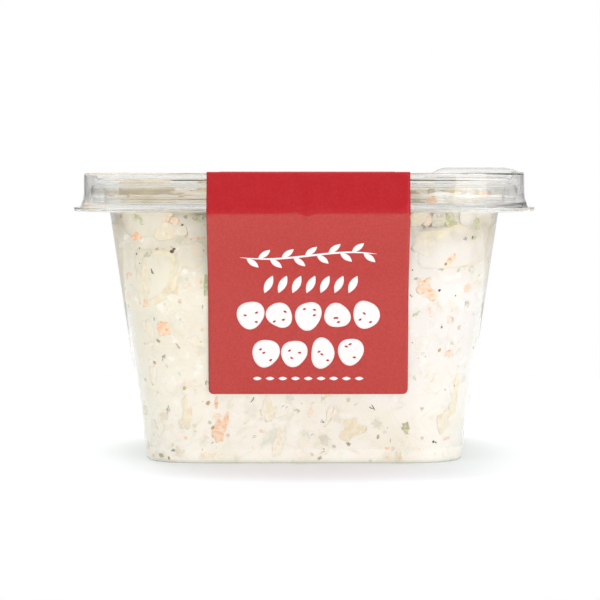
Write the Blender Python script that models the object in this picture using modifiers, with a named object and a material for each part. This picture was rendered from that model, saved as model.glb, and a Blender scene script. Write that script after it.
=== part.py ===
"""A shut square tub of potato salad: clear tub, clear snap lid, red label strap and the salad.

Metres, +Z up, +X to the right and the label's front towards -Y. The origin is on the ground
under the middle of the tub.
"""

import math
import random

import bmesh
import bpy
from mathutils import Euler, Matrix, Vector

# Driving sizes: the whole pack
LID_TOP = 0.0712
SHEET = 0.0005
GAP = 0.0003
CORNER_STEPS = 5

# Driving sizes: the tub, as half widths with the straight half of each side
FOOT_HALF = 0.0392
FOOT_STRAIGHT = 0.0255
FOOT_FILLET = 0.0024
WALL_TOP_HALF = 0.0479
WALL_TOP_STRAIGHT = 0.0315
FLANGE_HALF = 0.0566
FLANGE_DROP = 0.0097
LIP_RISE = 0.0022
RIM_STRAIGHT = 0.0340
BEAD_INNER_HALF = 0.0496
BEAD_WIDTH = 0.0024
BEAD_DROP = 0.0025
SHOULDER_DROP = 0.0078
RIB_DEPTH = 0.0004

# Driving sizes: the lid
SKIRT_HALF = 0.05405
SKIRT_FLARE = 0.0010
PANEL_DROP = 0.0017
RING_WIDTH = 0.0025
RING_ROUND = 0.0006

# Driving sizes: the finger pad raised from the lid's panel
PAD_LEFT = 0.0319
PAD_RIGHT = 0.0537
PAD_FRONT = -0.0300
PAD_BACK = -0.0150
PAD_RISE = 0.0013
PAD_SLOPE = 0.0031

# Driving sizes: the label strap
LABEL_WIDTH = 0.0485
LABEL_SHIFT = 0.0010
LABEL_THICK = 0.00025
LABEL_FOOT_Z = 0.0174
LABEL_LANDING_Z = 0.0440
LABEL_CORNER = 0.0012
LABEL_SINK_RUN = 0.0036

# Driving sizes: the salad
SALAD_LEVEL = 0.0654
SALAD_INSET = 0.0013
CHUNK_SIZES = (0.0105, 0.0155)
WALL_SPACING = 0.0190
WALL_DEPTH = 0.0042
TOP_SIZES = (0.0090, 0.0130)
TOP_SPACING = 0.0175
BIT_SIZES = (0.0030, 0.0055)
BIT_SPACING = 0.0215
BIT_DEPTH = 0.0008
SALAD_SEED = 22
MERGE = 0.0000001

# Places worked out from the driving sizes
FLANGE_Z = LID_TOP - FLANGE_DROP
BEAD_Z = LID_TOP - BEAD_DROP
PANEL_Z = LID_TOP - PANEL_DROP
SHOULDER_Z = LID_TOP - SHOULDER_DROP
WALL_SLOPE = (WALL_TOP_HALF - FOOT_HALF) / FLANGE_Z


def wall_half(z):
    """Half width of the tub's outer wall at height z."""
    return FOOT_HALF + WALL_SLOPE * z


def wall_straight(z):
    """Straight half of the tub wall's side at height z."""
    return FOOT_STRAIGHT + (WALL_TOP_STRAIGHT - FOOT_STRAIGHT) * z / FLANGE_Z


def arc(centre, radius, start, end, steps):
    """Points (half width, z) on an arc, its angles in degrees from +X towards +Z."""
    angles = [math.radians(start + (end - start) * step / steps) for step in range(steps + 1)]
    return [(centre[0] + radius * math.cos(a), centre[1] + radius * math.sin(a)) for a in angles]


def rounded_square(half, straight, z):
    """Points round a square of this half width, whose corners are quarter circles."""
    radius = half - straight
    points = []
    for corner, (side_x, side_y) in enumerate(((1, 1), (-1, 1), (-1, -1), (1, -1))):
        for step in range(CORNER_STEPS + 1):
            angle = math.pi / 2 * (corner + step / CORNER_STEPS)
            x = side_x * straight + radius * math.cos(angle)
            y = side_y * straight + radius * math.sin(angle)
            points.append(Vector((x, y, z)))
    return points


def add_skin(bm, sections):
    """Lofts rounded squares, given as (half, straight, z), over a flat face on the first.

    Going up or inwards the skin looks outwards or up, and its first face looks down.
    """
    rings = [[bm.verts.new(point) for point in rounded_square(*section)] for section in sections]
    bm.faces.new(reversed(rings[0]))
    for first, second in zip(rings, rings[1:]):
        for index in range(len(first)):
            bm.faces.new((first[index - 1], first[index], second[index], second[index - 1]))
    return rings


def material(name, colour, roughness, transmission=0.0):
    """A Principled material with plain values."""
    result = bpy.data.materials.new(name)
    result.use_nodes = True
    shader = result.node_tree.nodes["Principled BSDF"]
    shader.inputs["Base Color"].default_value = (*colour, 1.0)
    shader.inputs["Roughness"].default_value = roughness
    shader.inputs["Transmission Weight"].default_value = transmission
    result.diffuse_color = (*colour, 1.0)
    return result


def add_object(name, bm, collection, finish=None):
    """Turns a bmesh into an object in the collection."""
    mesh = bpy.data.meshes.new(name)
    bm.to_mesh(mesh)
    bm.free()
    if finish:
        mesh.materials.append(finish)
    result = bpy.data.objects.new(name, mesh)
    collection.objects.link(result)
    return result


def add_guide(name, bm, collection):
    """A cutter or a guide, which isn't part of the object."""
    result = add_object(name, bm, collection)
    result.hide_render = True
    result.display_type = "WIRE"
    return result


def add_solidify(item, thickness):
    """Gives a sheet its thickness, on the side that its faces look away from."""
    solidify = item.modifiers.new("Sheet", "SOLIDIFY")
    solidify.thickness = thickness
    solidify.offset = -1
    solidify.use_even_offset = True


def add_boolean(item, operation, cutter, solver="EXACT"):
    """Joins or cuts an object with another."""
    boolean = item.modifiers.new(operation.title(), "BOOLEAN")
    boolean.operation = operation
    boolean.object = cutter
    boolean.solver = solver


def smooth(item, angle):
    """Smooth shading with the edges above this angle left sharp."""
    item.data.shade_smooth()
    item.data.set_sharp_from_angle(angle=math.radians(angle))


def tub_sections():
    """The tub's sheet on its outer side: foot, wall, shoulder, hollow bead, flange and lip."""
    foot = arc((FOOT_HALF - FOOT_FILLET, FOOT_FILLET), FOOT_FILLET, -90, -8, 4)
    wall = [(half, wall_straight(z), z) for half, z in foot]
    wall.append((wall_half(FLANGE_Z), WALL_TOP_STRAIGHT, FLANGE_Z))

    bead_round = BEAD_WIDTH / 2
    bead_middle = (BEAD_INNER_HALF + bead_round, BEAD_Z - SHEET - bead_round)
    leg_half = BEAD_INNER_HALF + BEAD_WIDTH
    rim = [(BEAD_INNER_HALF, SHOULDER_Z)]
    rim += arc(bead_middle, bead_round, 180, 0, 4)
    rim.append((leg_half - RIB_DEPTH, (BEAD_Z + FLANGE_Z) / 2))
    rim.append((leg_half, FLANGE_Z + SHEET))
    rim.append((leg_half + SHEET, FLANGE_Z))
    rim += arc((FLANGE_HALF - LIP_RISE / 2, FLANGE_Z + LIP_RISE / 2), LIP_RISE / 2, -90, 25, 3)
    return wall + [(half, RIM_STRAIGHT, z) for half, z in rim]


def build_tub(collection):
    """The clear tub, one formed sheet."""
    bm = bmesh.new()
    add_skin(bm, tub_sections())
    tub = add_object("tub", bm, collection, material("clear_tub_plastic", (0.90, 0.93, 0.94), 0.08, 0.9))
    add_solidify(tub, SHEET)
    smooth(tub, 35)


def lid_sections():
    """The lid's sheet on its upper side: panel, raised ring, skirt and flared foot."""
    inner_half = SKIRT_HALF - RING_WIDTH
    rim = [(inner_half - RING_ROUND * 2, PANEL_Z)]
    rim += arc((inner_half + RING_ROUND, LID_TOP - RING_ROUND), RING_ROUND, 160, 90, 2)
    rim += arc((SKIRT_HALF - RING_ROUND, LID_TOP - RING_ROUND), RING_ROUND, 90, 0, 3)
    foot_z = FLANGE_Z + SHEET + GAP * 2
    rim.append((SKIRT_HALF, foot_z + SKIRT_FLARE * 2.5))
    rim.append((SKIRT_HALF + SKIRT_FLARE * 0.3, foot_z + SKIRT_FLARE * 1.2))
    rim.append((SKIRT_HALF + SKIRT_FLARE, foot_z))
    return [(half, RIM_STRAIGHT, z) for half, z in rim]


def pad_block(name, inset, bottom, right, collection):
    """A block with sloping ends, as the finger pad's outside or its hollow."""
    top = LID_TOP + PAD_RISE - inset
    outline = (
        (PAD_LEFT - SHEET + inset, bottom),
        (PAD_LEFT + inset, LID_TOP - inset),
        (PAD_LEFT + PAD_SLOPE + inset / 2, top),
        (right - PAD_SLOPE, top),
        (right, LID_TOP - inset),
        (right, bottom),
    )
    bm = bmesh.new()
    verts = [bm.verts.new((x, PAD_FRONT + inset, z)) for x, z in outline]
    face = bmesh.ops.contextual_create(bm, geom=verts)["faces"]
    moved = bmesh.ops.extrude_face_region(bm, geom=face)["geom"]
    reach = Vector((0, PAD_BACK - PAD_FRONT - 2 * inset, 0))
    bmesh.ops.translate(bm, verts=[v for v in moved if isinstance(v, bmesh.types.BMVert)], vec=reach)
    bmesh.ops.recalc_face_normals(bm, faces=bm.faces)
    return add_guide(name, bm, collection)


def build_lid(collection, guides):
    """The clear snap lid, one formed sheet with a finger pad raised at its right."""
    bm = bmesh.new()
    add_skin(bm, lid_sections())
    bmesh.ops.reverse_faces(bm, faces=bm.faces)
    lid = add_object("lid", bm, collection, material("clear_lid_plastic", (0.92, 0.94, 0.95), 0.06, 0.9))
    add_solidify(lid, SHEET)
    ring_inside = SKIRT_HALF - RING_WIDTH - RING_ROUND * 2
    add_boolean(lid, "UNION", pad_block("pad_outside", 0.0, PANEL_Z - SHEET / 2, PAD_RIGHT, guides))
    hollow = pad_block("pad_hollow", SHEET, PANEL_Z - SHEET * 3, ring_inside - SHEET, guides)
    add_boolean(lid, "DIFFERENCE", hollow)
    smooth(lid, 35)


def label_path():
    """The strap's under side from the tub's foot to the middle of the lid, as (y, z, half width)."""
    half = LABEL_WIDTH / 2
    rise = Vector((WALL_SLOPE, 1)).normalized()
    foot = Vector((wall_half(LABEL_FOOT_Z) + GAP, LABEL_FOOT_Z))
    path = []
    for step in range(4):
        angle = math.pi / 2 * step / 3
        along = LABEL_CORNER * (1 - math.cos(angle))
        point = foot + rise * along
        path.append((point.x, point.y, half - LABEL_CORNER * (1 - math.sin(angle))))
    path.append((wall_half(LABEL_LANDING_Z) + GAP, LABEL_LANDING_Z, half))
    fold = FLANGE_HALF + GAP * 1.5
    path.append((fold, FLANGE_Z - GAP, half))
    path.append((fold, FLANGE_Z + LIP_RISE * 0.7, half))
    path.append((SKIRT_HALF + GAP, LID_TOP, half))
    path.append((SKIRT_HALF - RING_ROUND, LID_TOP + GAP, half))
    ring_inside = SKIRT_HALF - RING_WIDTH
    path.append((ring_inside, LID_TOP + GAP, half))
    path.append((ring_inside - LABEL_SINK_RUN, PANEL_Z + GAP, half))
    path.append((0.0, PANEL_Z + GAP, half))
    return path


def build_label(collection):
    """The red strap over the lid and down the front and the back."""
    bm = bmesh.new()
    rows = []
    for y, z, half in label_path():
        rows.append([bm.verts.new((LABEL_SHIFT + side * half, -y, z)) for side in (-1, 1)])
    for first, second in zip(rows, rows[1:]):
        bm.faces.new((first[0], second[0], second[1], first[1]))
    bmesh.ops.recalc_face_normals(bm, faces=bm.faces)
    label = add_object("label", bm, collection, material("red_label_film", (0.50, 0.055, 0.055), 0.38))
    mirror = label.modifiers.new("Back", "MIRROR")
    mirror.use_axis = (False, True, False)
    mirror.merge_threshold = 0.00001
    solidify = label.modifiers.new("Film", "SOLIDIFY")
    solidify.thickness = LABEL_THICK
    solidify.offset = 1
    solidify.use_even_offset = True


def filling_sections(inset, top):
    """Rounded squares inside the tub's wall, this far from its inner side, up to the top."""
    side = SHEET + inset
    foot = arc((FOOT_HALF - FOOT_FILLET - side, FOOT_FILLET + side), FOOT_FILLET, -90, -8, 3)
    sections = [(half, wall_straight(z), z) for half, z in foot]
    sections.append((WALL_TOP_HALF - side, WALL_TOP_STRAIGHT, FLANGE_Z))
    sections.append((BEAD_INNER_HALF - side, RIM_STRAIGHT, SHOULDER_Z + inset))
    sections.append((BEAD_INNER_HALF - side, RIM_STRAIGHT, top))
    return sections


def filling(inset, top):
    """A closed block of the tub's inside."""
    bm = bmesh.new()
    rings = add_skin(bm, filling_sections(inset, top))
    bm.faces.new(rings[-1])
    return bm


def chunk(size, spot, turn, draw):
    """An irregular cube of potato with its edges cut off."""
    bm = bmesh.new()
    bmesh.ops.create_cube(bm, size=1.0)
    bmesh.ops.scale(bm, vec=(size, size * draw.uniform(0.75, 1.1), size * draw.uniform(0.7, 1.0)), verts=bm.verts)
    bmesh.ops.bevel(bm, geom=bm.edges, offset=size * 0.16, segments=1, profile=0.5, affect="EDGES")
    for vert in bm.verts:
        vert.co *= draw.uniform(0.93, 1.07)
    bmesh.ops.transform(bm, matrix=Matrix.Translation(spot) @ turn.to_matrix().to_4x4(), verts=bm.verts)
    return bm


def bit(size, spot, turn, draw):
    """A small cut of carrot or celery."""
    bm = bmesh.new()
    bmesh.ops.create_cube(bm, size=1.0)
    bmesh.ops.scale(bm, vec=(size, size * draw.uniform(0.5, 0.9), size * draw.uniform(0.8, 1.6)), verts=bm.verts)
    bmesh.ops.transform(bm, matrix=Matrix.Translation(spot) @ turn.to_matrix().to_4x4(), verts=bm.verts)
    return bm


def random_turn(draw):
    """Any way round."""
    return Euler([draw.uniform(0, math.tau) for _ in range(3)])


def wall_spots(spacing, depth, draw):
    """Places on the four walls, this deep inside the tub, a spacing apart."""
    rows = int(SALAD_LEVEL / spacing)
    for side in range(4):
        turn = Matrix.Rotation(side * math.pi / 2, 3, "Z")
        for row in range(rows):
            z = spacing * (row + 0.5 + draw.uniform(-0.2, 0.2))
            half = wall_half(z) - SHEET - depth
            columns = int(2 * half / spacing)
            for column in range(columns):
                across = (column + 0.5 + 0.5 * (row % 2) + draw.uniform(-0.25, 0.25)) / columns - 0.5
                reach = min(abs(across) * 2, 1) * half * 0.88
                yield turn @ Vector((math.copysign(reach, across), -half, z))


def top_spots(spacing, draw):
    """Places over the salad's top, a spacing apart."""
    reach = BEAD_INNER_HALF - spacing
    count = int(2 * reach / spacing) + 1
    for row in range(count):
        for column in range(count):
            x = -reach + 2 * reach * (column + draw.uniform(-0.3, 0.3)) / (count - 1)
            y = -reach + 2 * reach * (row + draw.uniform(-0.3, 0.3)) / (count - 1)
            yield Vector((x, y, SALAD_LEVEL + draw.uniform(-0.0035, 0.0002)))


def add_pieces(collection, draw):
    """The pieces that show through the wall and on the top."""
    for spot in wall_spots(WALL_SPACING, WALL_DEPTH, draw):
        bm = chunk(draw.uniform(*CHUNK_SIZES), spot, random_turn(draw), draw)
        add_object("potato", bm, collection)
    for spot in top_spots(TOP_SPACING, draw):
        bm = chunk(draw.uniform(*TOP_SIZES), spot, random_turn(draw), draw)
        add_object("potato", bm, collection)
    for spot in wall_spots(BIT_SPACING, BIT_DEPTH, draw):
        bm = bit(draw.uniform(*BIT_SIZES), spot, random_turn(draw), draw)
        add_object("bit", bm, collection)


def keep_largest_piece(bm):
    """Drops what isn't joined to the main body, sealed hollows too."""
    pending = set(bm.verts)
    islands = []
    while pending:
        stack = [pending.pop()]
        island = []
        while stack:
            vert = stack.pop()
            island.append(vert)
            near = [edge.other_vert(vert) for edge in vert.link_edges]
            fresh = [other for other in near if other in pending]
            pending.difference_update(fresh)
            stack.extend(fresh)
        islands.append(island)
    islands.sort(key=len)
    for island in islands[:-1]:
        bmesh.ops.delete(bm, geom=island, context="VERTS")


def apply_modifiers(item):
    """Applies an object's modifiers and clears up its mesh."""
    evaluated = item.evaluated_get(bpy.context.evaluated_depsgraph_get())
    bm = bmesh.new()
    bm.from_mesh(bpy.data.meshes.new_from_object(evaluated))
    item.modifiers.clear()
    bmesh.ops.remove_doubles(bm, verts=bm.verts, dist=MERGE)
    bmesh.ops.dissolve_degenerate(bm, edges=bm.edges, dist=MERGE)
    keep_largest_piece(bm)
    bm.to_mesh(item.data)
    bm.free()


def build_salad(collection, guides):
    """The salad: a core with potato, carrot and celery pieces fused on, cut to the tub's inside."""
    draw = random.Random(SALAD_SEED)
    salad = add_object("salad", filling(SALAD_INSET, SALAD_LEVEL), collection,
                       material("potato_salad", (0.80, 0.75, 0.60), 0.45))
    inside = add_guide("salad_space", filling(GAP, LID_TOP - PANEL_DROP - SHEET - GAP), guides)

    pieces = bpy.data.collections.new("salad_pieces")
    bpy.context.scene.collection.children.link(pieces)
    add_pieces(pieces, draw)
    union = salad.modifiers.new("Pieces", "BOOLEAN")
    union.operation = "UNION"
    union.operand_type = "COLLECTION"
    union.solver = "MANIFOLD"
    union.collection = pieces
    apply_modifiers(salad)
    for piece in list(pieces.objects):
        bpy.data.objects.remove(piece)
    bpy.data.collections.remove(pieces)
    add_boolean(salad, "INTERSECT", inside, "MANIFOLD")
    apply_modifiers(salad)


def main():
    """Builds the pack in an empty scene."""
    for old in list(bpy.data.objects):
        bpy.data.objects.remove(old)
    scene = bpy.context.scene
    pack = bpy.data.collections.new("potato_salad_tub")
    guides = bpy.data.collections.new("guides")
    scene.collection.children.link(pack)
    scene.collection.children.link(guides)
    build_tub(pack)
    build_lid(pack, guides)
    build_label(pack)
    build_salad(pack, guides)


main()
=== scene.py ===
"""The looks of a shut clear tub of potato salad: plastic, label, dressing and pieces. Metres."""

import math
import random

import bmesh
import bpy
from mathutils import Matrix, Vector, noise


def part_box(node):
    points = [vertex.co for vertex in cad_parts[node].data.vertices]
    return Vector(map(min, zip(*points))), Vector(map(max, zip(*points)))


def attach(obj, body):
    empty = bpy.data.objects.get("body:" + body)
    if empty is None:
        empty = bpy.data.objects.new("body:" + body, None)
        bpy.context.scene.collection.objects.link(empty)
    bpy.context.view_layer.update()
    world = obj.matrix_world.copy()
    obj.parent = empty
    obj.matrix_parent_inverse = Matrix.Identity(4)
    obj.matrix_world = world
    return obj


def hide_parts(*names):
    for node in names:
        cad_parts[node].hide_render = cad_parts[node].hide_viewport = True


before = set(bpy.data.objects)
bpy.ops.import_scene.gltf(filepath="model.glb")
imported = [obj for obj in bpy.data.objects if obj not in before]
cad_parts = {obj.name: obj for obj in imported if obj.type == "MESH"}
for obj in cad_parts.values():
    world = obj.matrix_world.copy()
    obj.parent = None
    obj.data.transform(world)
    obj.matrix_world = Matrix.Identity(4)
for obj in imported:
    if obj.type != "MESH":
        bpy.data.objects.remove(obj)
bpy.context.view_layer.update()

MM = 0.001
UP = Vector((0, 0, 1))

# The pack, as half widths and heights
SHEET = 0.5 * MM
FOOT_SHEET = 0.25 * MM
LID_TOP = 71.2 * MM
FOOT_HALF = 39.2 * MM
FOOT_STRAIGHT = 25.5 * MM
FOOT_FILLET = 0.5 * MM
WALL_TOP_HALF = 47.9 * MM
WALL_TOP_STRAIGHT = 31.5 * MM
RIM_STRAIGHT = 34.0 * MM
FLANGE_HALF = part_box("tub")[1].x
FLANGE_Z = LID_TOP - 9.4 * MM
LIP_BEND = 0.5 * MM
LIP_TOP = 62.8 * MM
SHOULDER_Z = LID_TOP - 7.8 * MM
SHOULDER_RISE = 1.9 * MM
BEAD_INNER = 49.6 * MM
BEAD_OUTER = 52.0 * MM
BEAD_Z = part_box("tub")[1].z
BEAD_BEND = 1.15 * MM
GROOVE_DROP = 2.9 * MM
GROOVE_HEIGHT = 0.6 * MM
GROOVE_DEPTH = 0.45 * MM
GROOVE_SLOPE = 0.5 * MM
DRAFT = 0.1 * MM
PANEL_Z = LID_TOP - 1.45 * MM
PANEL_RIM = 4.0 * MM
SKIRT_HALF = 54.05 * MM
SKIRT_FOOT_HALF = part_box("lid")[1].x
SKIRT_FOOT_Z = FLANGE_Z + SHEET + 0.35 * MM
FLARE_Z = FLANGE_Z + 3.6 * MM
RING_INNER = SKIRT_HALF - 2.5 * MM
RING_SLOPE = 1.1 * MM
RING_BEND = 0.55 * MM
CORNER_STEPS = 48
SIDE_STEPS = 10
CAP_INSET = 6.0 * MM

# Where the sheet thins: heights at the tub's foot, and the share that is left at each outer rim
FOOT_THINS = 1.5 * MM, 6.0 * MM
FLANGE_TIP_SHARE = 0.45
SKIRT_FOOT_SHARE = 0.6

# The finger pad on the lid
PAD_LEFT, PAD_RIGHT = 28.2 * MM, 54.3 * MM
PAD_FRONT, PAD_BACK = -30.0 * MM, -15.0 * MM
PAD_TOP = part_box("lid")[1].z
PAD_LEFT_SLOPE, PAD_RIGHT_SLOPE = 7.0 * MM, 4.4 * MM
PAD_SIDE_SLOPE = 1.2 * MM
PAD_SHEET = 0.2 * MM
PAD_OVER_RING = 49.8 * MM, 51.6 * MM
PAD_CREASE_AT, PAD_CREASE_LEAN = 50.6 * MM, 0.2
PAD_CREASE_WIDTH, PAD_CREASE_DEPTH = 0.35 * MM, 0.25 * MM

# The label strap
LABEL_WIDTH = 48.5 * MM
LABEL_SHIFT = 1.0 * MM
LABEL_SHEET = 0.12 * MM
LABEL_LIFT = 0.16 * MM
LABEL_FOOT_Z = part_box("label")[0].z
LABEL_LANDING_Z = 44.0 * MM
LABEL_CORNER = 1.2 * MM
FOLD_Z = LID_TOP - 9.85 * MM
BAND_Z = FOLD_Z + 1.8 * MM
STRAP_GAP_LEAST, STRAP_GAP_MOST = 0.02 * MM, 1.2 * MM
STRAP_FOOT_SHARES = 0, 0.08, 0.25, 0.5
PRINT_LIFT = 0.02 * MM

# Its dents and wrinkles: place across the strap, width and height in millimetres, and reach along it
BAND_DENTS = ((0.9, 1.5, 0.16), (-1.8, 1.6, -0.10), (8.6, 1.3, -0.12))
FOLD_WRINKLES = ((0.8, 1.5, 0.70), (-2.4, 1.1, -0.35))
FOLD_DENT = (0.2, 1.3, 0.30)
FOLD_DENT_LENGTH = 4.0 * MM
FOLD_WRINKLE_LENGTH = 1.4 * MM
FOLD_TILT = 0.004

# The salad, with how far each thing presses into the wall so that no air shows between
SALAD_LEVEL = 65.2 * MM
LID_UNDER = PANEL_Z - SHEET
DRESSING_REACH = 0.10 * MM
POTATO_REACH = 0.13 * MM
BIT_REACH = 0.17 * MM
SPECK_REACH = 0.21 * MM
REACH_SPREAD = 0.03 * MM
SOFT_RIM = 0.4 * MM
POCKET_DEPTH = 1.6 * MM
DRESSING_CUTS = 77
POTATO_THICKNESS = 11.0 * MM
POTATO_SIZES = 9.0, 15.0
POTATO_FRONT_DEPTH, POTATO_DEPTH = 4.2 * MM, 4.4 * MM
POTATO_GAP = 15.0 * MM
BIT_THICKNESS = 2.6 * MM
BIT_DEPTH, HERB_DEPTH, GRAIN_DEPTH = 0.7 * MM, 0.1 * MM, 0.12 * MM
SCATTER_HEIGHTS = 1.5 * MM, 64.0 * MM
SCATTER_TOP_HALF, SCATTER_FOOT_HALF = 45.0 * MM, 36.0 * MM
SALAD_SEED = 7

# How many pieces are scattered on the walls, the top and the foot, and what sets their shapes
POTATO_COUNTS = 60, 36, 14
HERB_COUNTS = 150, 80, 44
POTATO_SEED, HERB_SEED = 20, 3

# Which way a place on the wall faces, as the Y of its way out, and the dressing over what faces the corners
FACES_FRONT = -0.9
FACES_CORNER = -0.3
CORNER_VEIL = 0.35

# Where the front has its own pieces: up to this height on the wall, and this far forward on the foot
FRONT_TOP_Z = LID_UNDER - 6 * MM
FRONT_FOOT_Y = -30.0 * MM


def wall_half(z):
    """Half width of the tub's outer wall."""
    return FOOT_HALF + (WALL_TOP_HALF - FOOT_HALF) * z / FLANGE_Z


def wall_straight(z):
    """Half of the straight stretch of the tub wall's sides."""
    return FOOT_STRAIGHT + (WALL_TOP_STRAIGHT - FOOT_STRAIGHT) * z / FLANGE_Z


def inside_outline(z):
    """Half width and straight half of the tub's inside at a height."""
    rise = min(max((z - FLANGE_Z) / (SHOULDER_Z - FLANGE_Z), 0), 1)
    low = min(z, FLANGE_Z)
    half = wall_half(low) + (BEAD_INNER - WALL_TOP_HALF) * rise - SHEET * foot_share(low)
    drop = FOOT_FILLET - max(z - FOOT_SHEET, 0)
    if drop > 0:
        half -= FOOT_FILLET - math.sqrt(max(FOOT_FILLET ** 2 - drop ** 2, 0))
    return half, wall_straight(low) + (RIM_STRAIGHT - WALL_TOP_STRAIGHT) * rise


def plan_distance(x, y, half, straight):
    """How far a point lies outside a rounded square, and the way straight out of it."""
    across, along = abs(x) - straight, abs(y) - straight
    if across > 0 and along > 0:
        reach = math.hypot(across, along)
        out = Vector((math.copysign(across, x), math.copysign(along, y), 0)) / reach
        return reach - (half - straight), out
    if across > along:
        return abs(x) - half, Vector((math.copysign(1, x), 0, 0))
    return abs(y) - half, Vector((0, math.copysign(1, y), 0))


def onto_rounded_square(u, v, half, straight):
    """Maps a point of the square from -1 to 1 onto a rounded square."""
    x, y = u * half, v * half
    across, along = abs(x) - straight, abs(y) - straight
    if across > 0 and along > 0:
        shrink = max(across, along) / math.hypot(across, along)
        x = math.copysign(straight + across * shrink, x)
        y = math.copysign(straight + along * shrink, y)
    return x, y


def rounded_line(corners, steps=5):
    """Points along corners given as (a, b, cut), each rounded from that far before to that far after."""
    points = []
    for index, (a, b, cut) in enumerate(corners):
        here = Vector((a, b))
        if cut == 0:
            points.append(here)
            continue
        before = here + (Vector(corners[index - 1][:2]) - here).normalized() * cut
        after = here + (Vector(corners[index + 1][:2]) - here).normalized() * cut
        for step in range(steps + 1):
            t = step / steps
            points.append(before * (1 - t) ** 2 + here * 2 * t * (1 - t) + after * t ** 2)
    return points


def smoothstep(low, high, value):
    """A soft step from 0 at low to 1 at high."""
    t = min(max((value - low) / (high - low), 0), 1)
    return t * t * (3 - 2 * t)


def bell(value, centre, width):
    """A smooth bump, 1 high at its centre."""
    return math.exp(-((value - centre) / width) ** 2)


def bumps(x, table):
    """The height at x of the bumps of a table, each with its place, width and height in millimetres."""
    return sum(height * MM * bell(x, place * MM, width * MM) for place, width, height in table)


def ripple(x, y, x_size, y_size, layer):
    """Smooth noise over a surface, with waves of these sizes. Each layer is another pattern."""
    return noise.noise(Vector((x / x_size, y / y_size, layer)))


def into_mesh(name, bm):
    """Turns a bmesh into a mesh."""
    mesh = bpy.data.meshes.new(name)
    bm.to_mesh(mesh)
    bm.free()
    return mesh


def add_object(name, data):
    """Puts a mesh, lamp or camera into the scene."""
    thing = bpy.data.objects.new(name, data)
    bpy.context.scene.collection.objects.link(thing)
    return thing


def add_piece(name, bm, material, node):
    """Turns a bmesh into a smooth piece that stands for a node."""
    mesh = into_mesh(name, bm)
    mesh.shade_smooth()
    mesh.materials.append(material)
    piece = add_object(name, mesh)
    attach(piece, "root")
    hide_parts(node)
    return piece


def vary_sheet(piece, share_at):
    """Scales a sheet's thickness by this share at each of its places."""
    group = piece.vertex_groups.new(name="thickness")
    for vert in piece.data.vertices:
        group.add([vert.index], share_at(vert.co), "REPLACE")
    piece.modifiers["sheet"].vertex_group = group.name


def foot_share(z):
    """The share of its thickness that the tub's sheet has at a height, thinner at its foot."""
    least = FOOT_SHEET / SHEET
    return least + (1 - least) * smoothstep(*FOOT_THINS, z)


def rim_share(place, inner, outer, least):
    """The share of its thickness that a sheet has, falling to the least between two half widths."""
    distance = inner + plan_distance(place.x, place.y, inner, RIM_STRAIGHT)[0]
    return 1 - (1 - least) * smoothstep(inner, outer, distance)


def thicken(piece, thickness, even=True):
    """Gives a sheet its thickness, on its inner side."""
    solidify = piece.modifiers.new("sheet", "SOLIDIFY")
    solidify.thickness = thickness
    solidify.offset = -1
    solidify.use_even_offset = even
    return solidify


# Colours, as linear red, green and blue

# Painted shade and light: the dressing darker on the left and lighter on the right, as the lamps fall.
DRESSING_LEFT_SHADED, DRESSING_RIGHT_LIT = (0.825, 0.76, 0.63), (0.845, 0.79, 0.765)
# Painted light near the foot, and painted shade under the rim.
DRESSING_FOOT_LIT, DRESSING_RIM_SHADE = (0.965, 0.91, 0.835), (0.60, 0.53, 0.42)
DRESSING_WHITE = (0.96, 0.95, 0.94)
# The second is painted shade for the dressing's air pockets.
CREASE_TAN, POCKET_SHADE = (0.72, 0.63, 0.50), (0.56, 0.48, 0.35)
POTATO_MEALY = (0.80, 0.735, 0.58)
POTATO_RIM = (0.73, 0.63, 0.42), (0.79, 0.71, 0.52)
CARROT_FLESH = (0.87, 0.50, 0.27), (0.90, 0.68, 0.52)
CARROT_VIVID = (0.86, 0.33, 0.06)
PALE_VEGETABLE = (0.80, 0.675, 0.47), (0.85, 0.755, 0.58)
CELERY = (0.44, 0.43, 0.22), (0.64, 0.64, 0.46)
HERB = (0.10, 0.105, 0.04), (0.24, 0.23, 0.10)
PEPPER = (0.07, 0.04, 0.022), (0.20, 0.12, 0.06)
MUSTARD_SEED = (0.50, 0.30, 0.10), (0.64, 0.45, 0.22)
RED_BENT = (0.41, 0.010, 0.015), (0.46, 0.014, 0.020)
# The lower panel's red has more green and blue than the band's: a painted haze of the white floor's
# reflection on the same film.
RED_STUCK_HAZED = (0.41, 0.032, 0.026), (0.47, 0.042, 0.034)
LABEL_PAPER = (0.90, 0.89, 0.87), (0.85, 0.84, 0.82)
WHITE_INK = (0.87, 0.83, 0.82), (0.82, 0.77, 0.76)
FLOOR_WHITE = (0.92, 0.965, 0.985)

# Clear plastics, as tint, bending of light, and scale and depth of their waves
TUB_PLASTIC = (0.97, 0.968, 0.96), 1.4, 60.0, 0.25 * MM
LID_PLASTIC = (0.975, 0.973, 0.965), 1.47, 80.0, 0.2 * MM

# Fine relief of the label's film and of the small bits, as scale, strength and depth
FILM_RELIEF = 900.0, 0.15, 0.05 * MM
BIT_RELIEF = 1200.0, 0.3, 0.08 * MM

# How patchy the dressing lies over the bits
VEIL_PATCHES = 0.28

# Patches in the dressing, broad beige, tan, grey and white
DRESSING_PATCHES = (
    # noise scale, detail, roughness, distortion, from, to, strongest, colour
    (60.0, 3.0, 0.6, 0.6, 0.45, 0.70, 0.60, (0.84, 0.78, 0.65)),
    (150.0, 4.0, 0.6, 0.8, 0.56, 0.74, 0.75, (0.74, 0.65, 0.48)),
    (210.0, 4.0, 0.6, 0.5, 0.57, 0.72, 0.60, (0.70, 0.69, 0.60)),
    (330.0, 4.0, 0.55, 0.0, 0.56, 0.72, 0.70, (0.94, 0.91, 0.85)),
)

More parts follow.
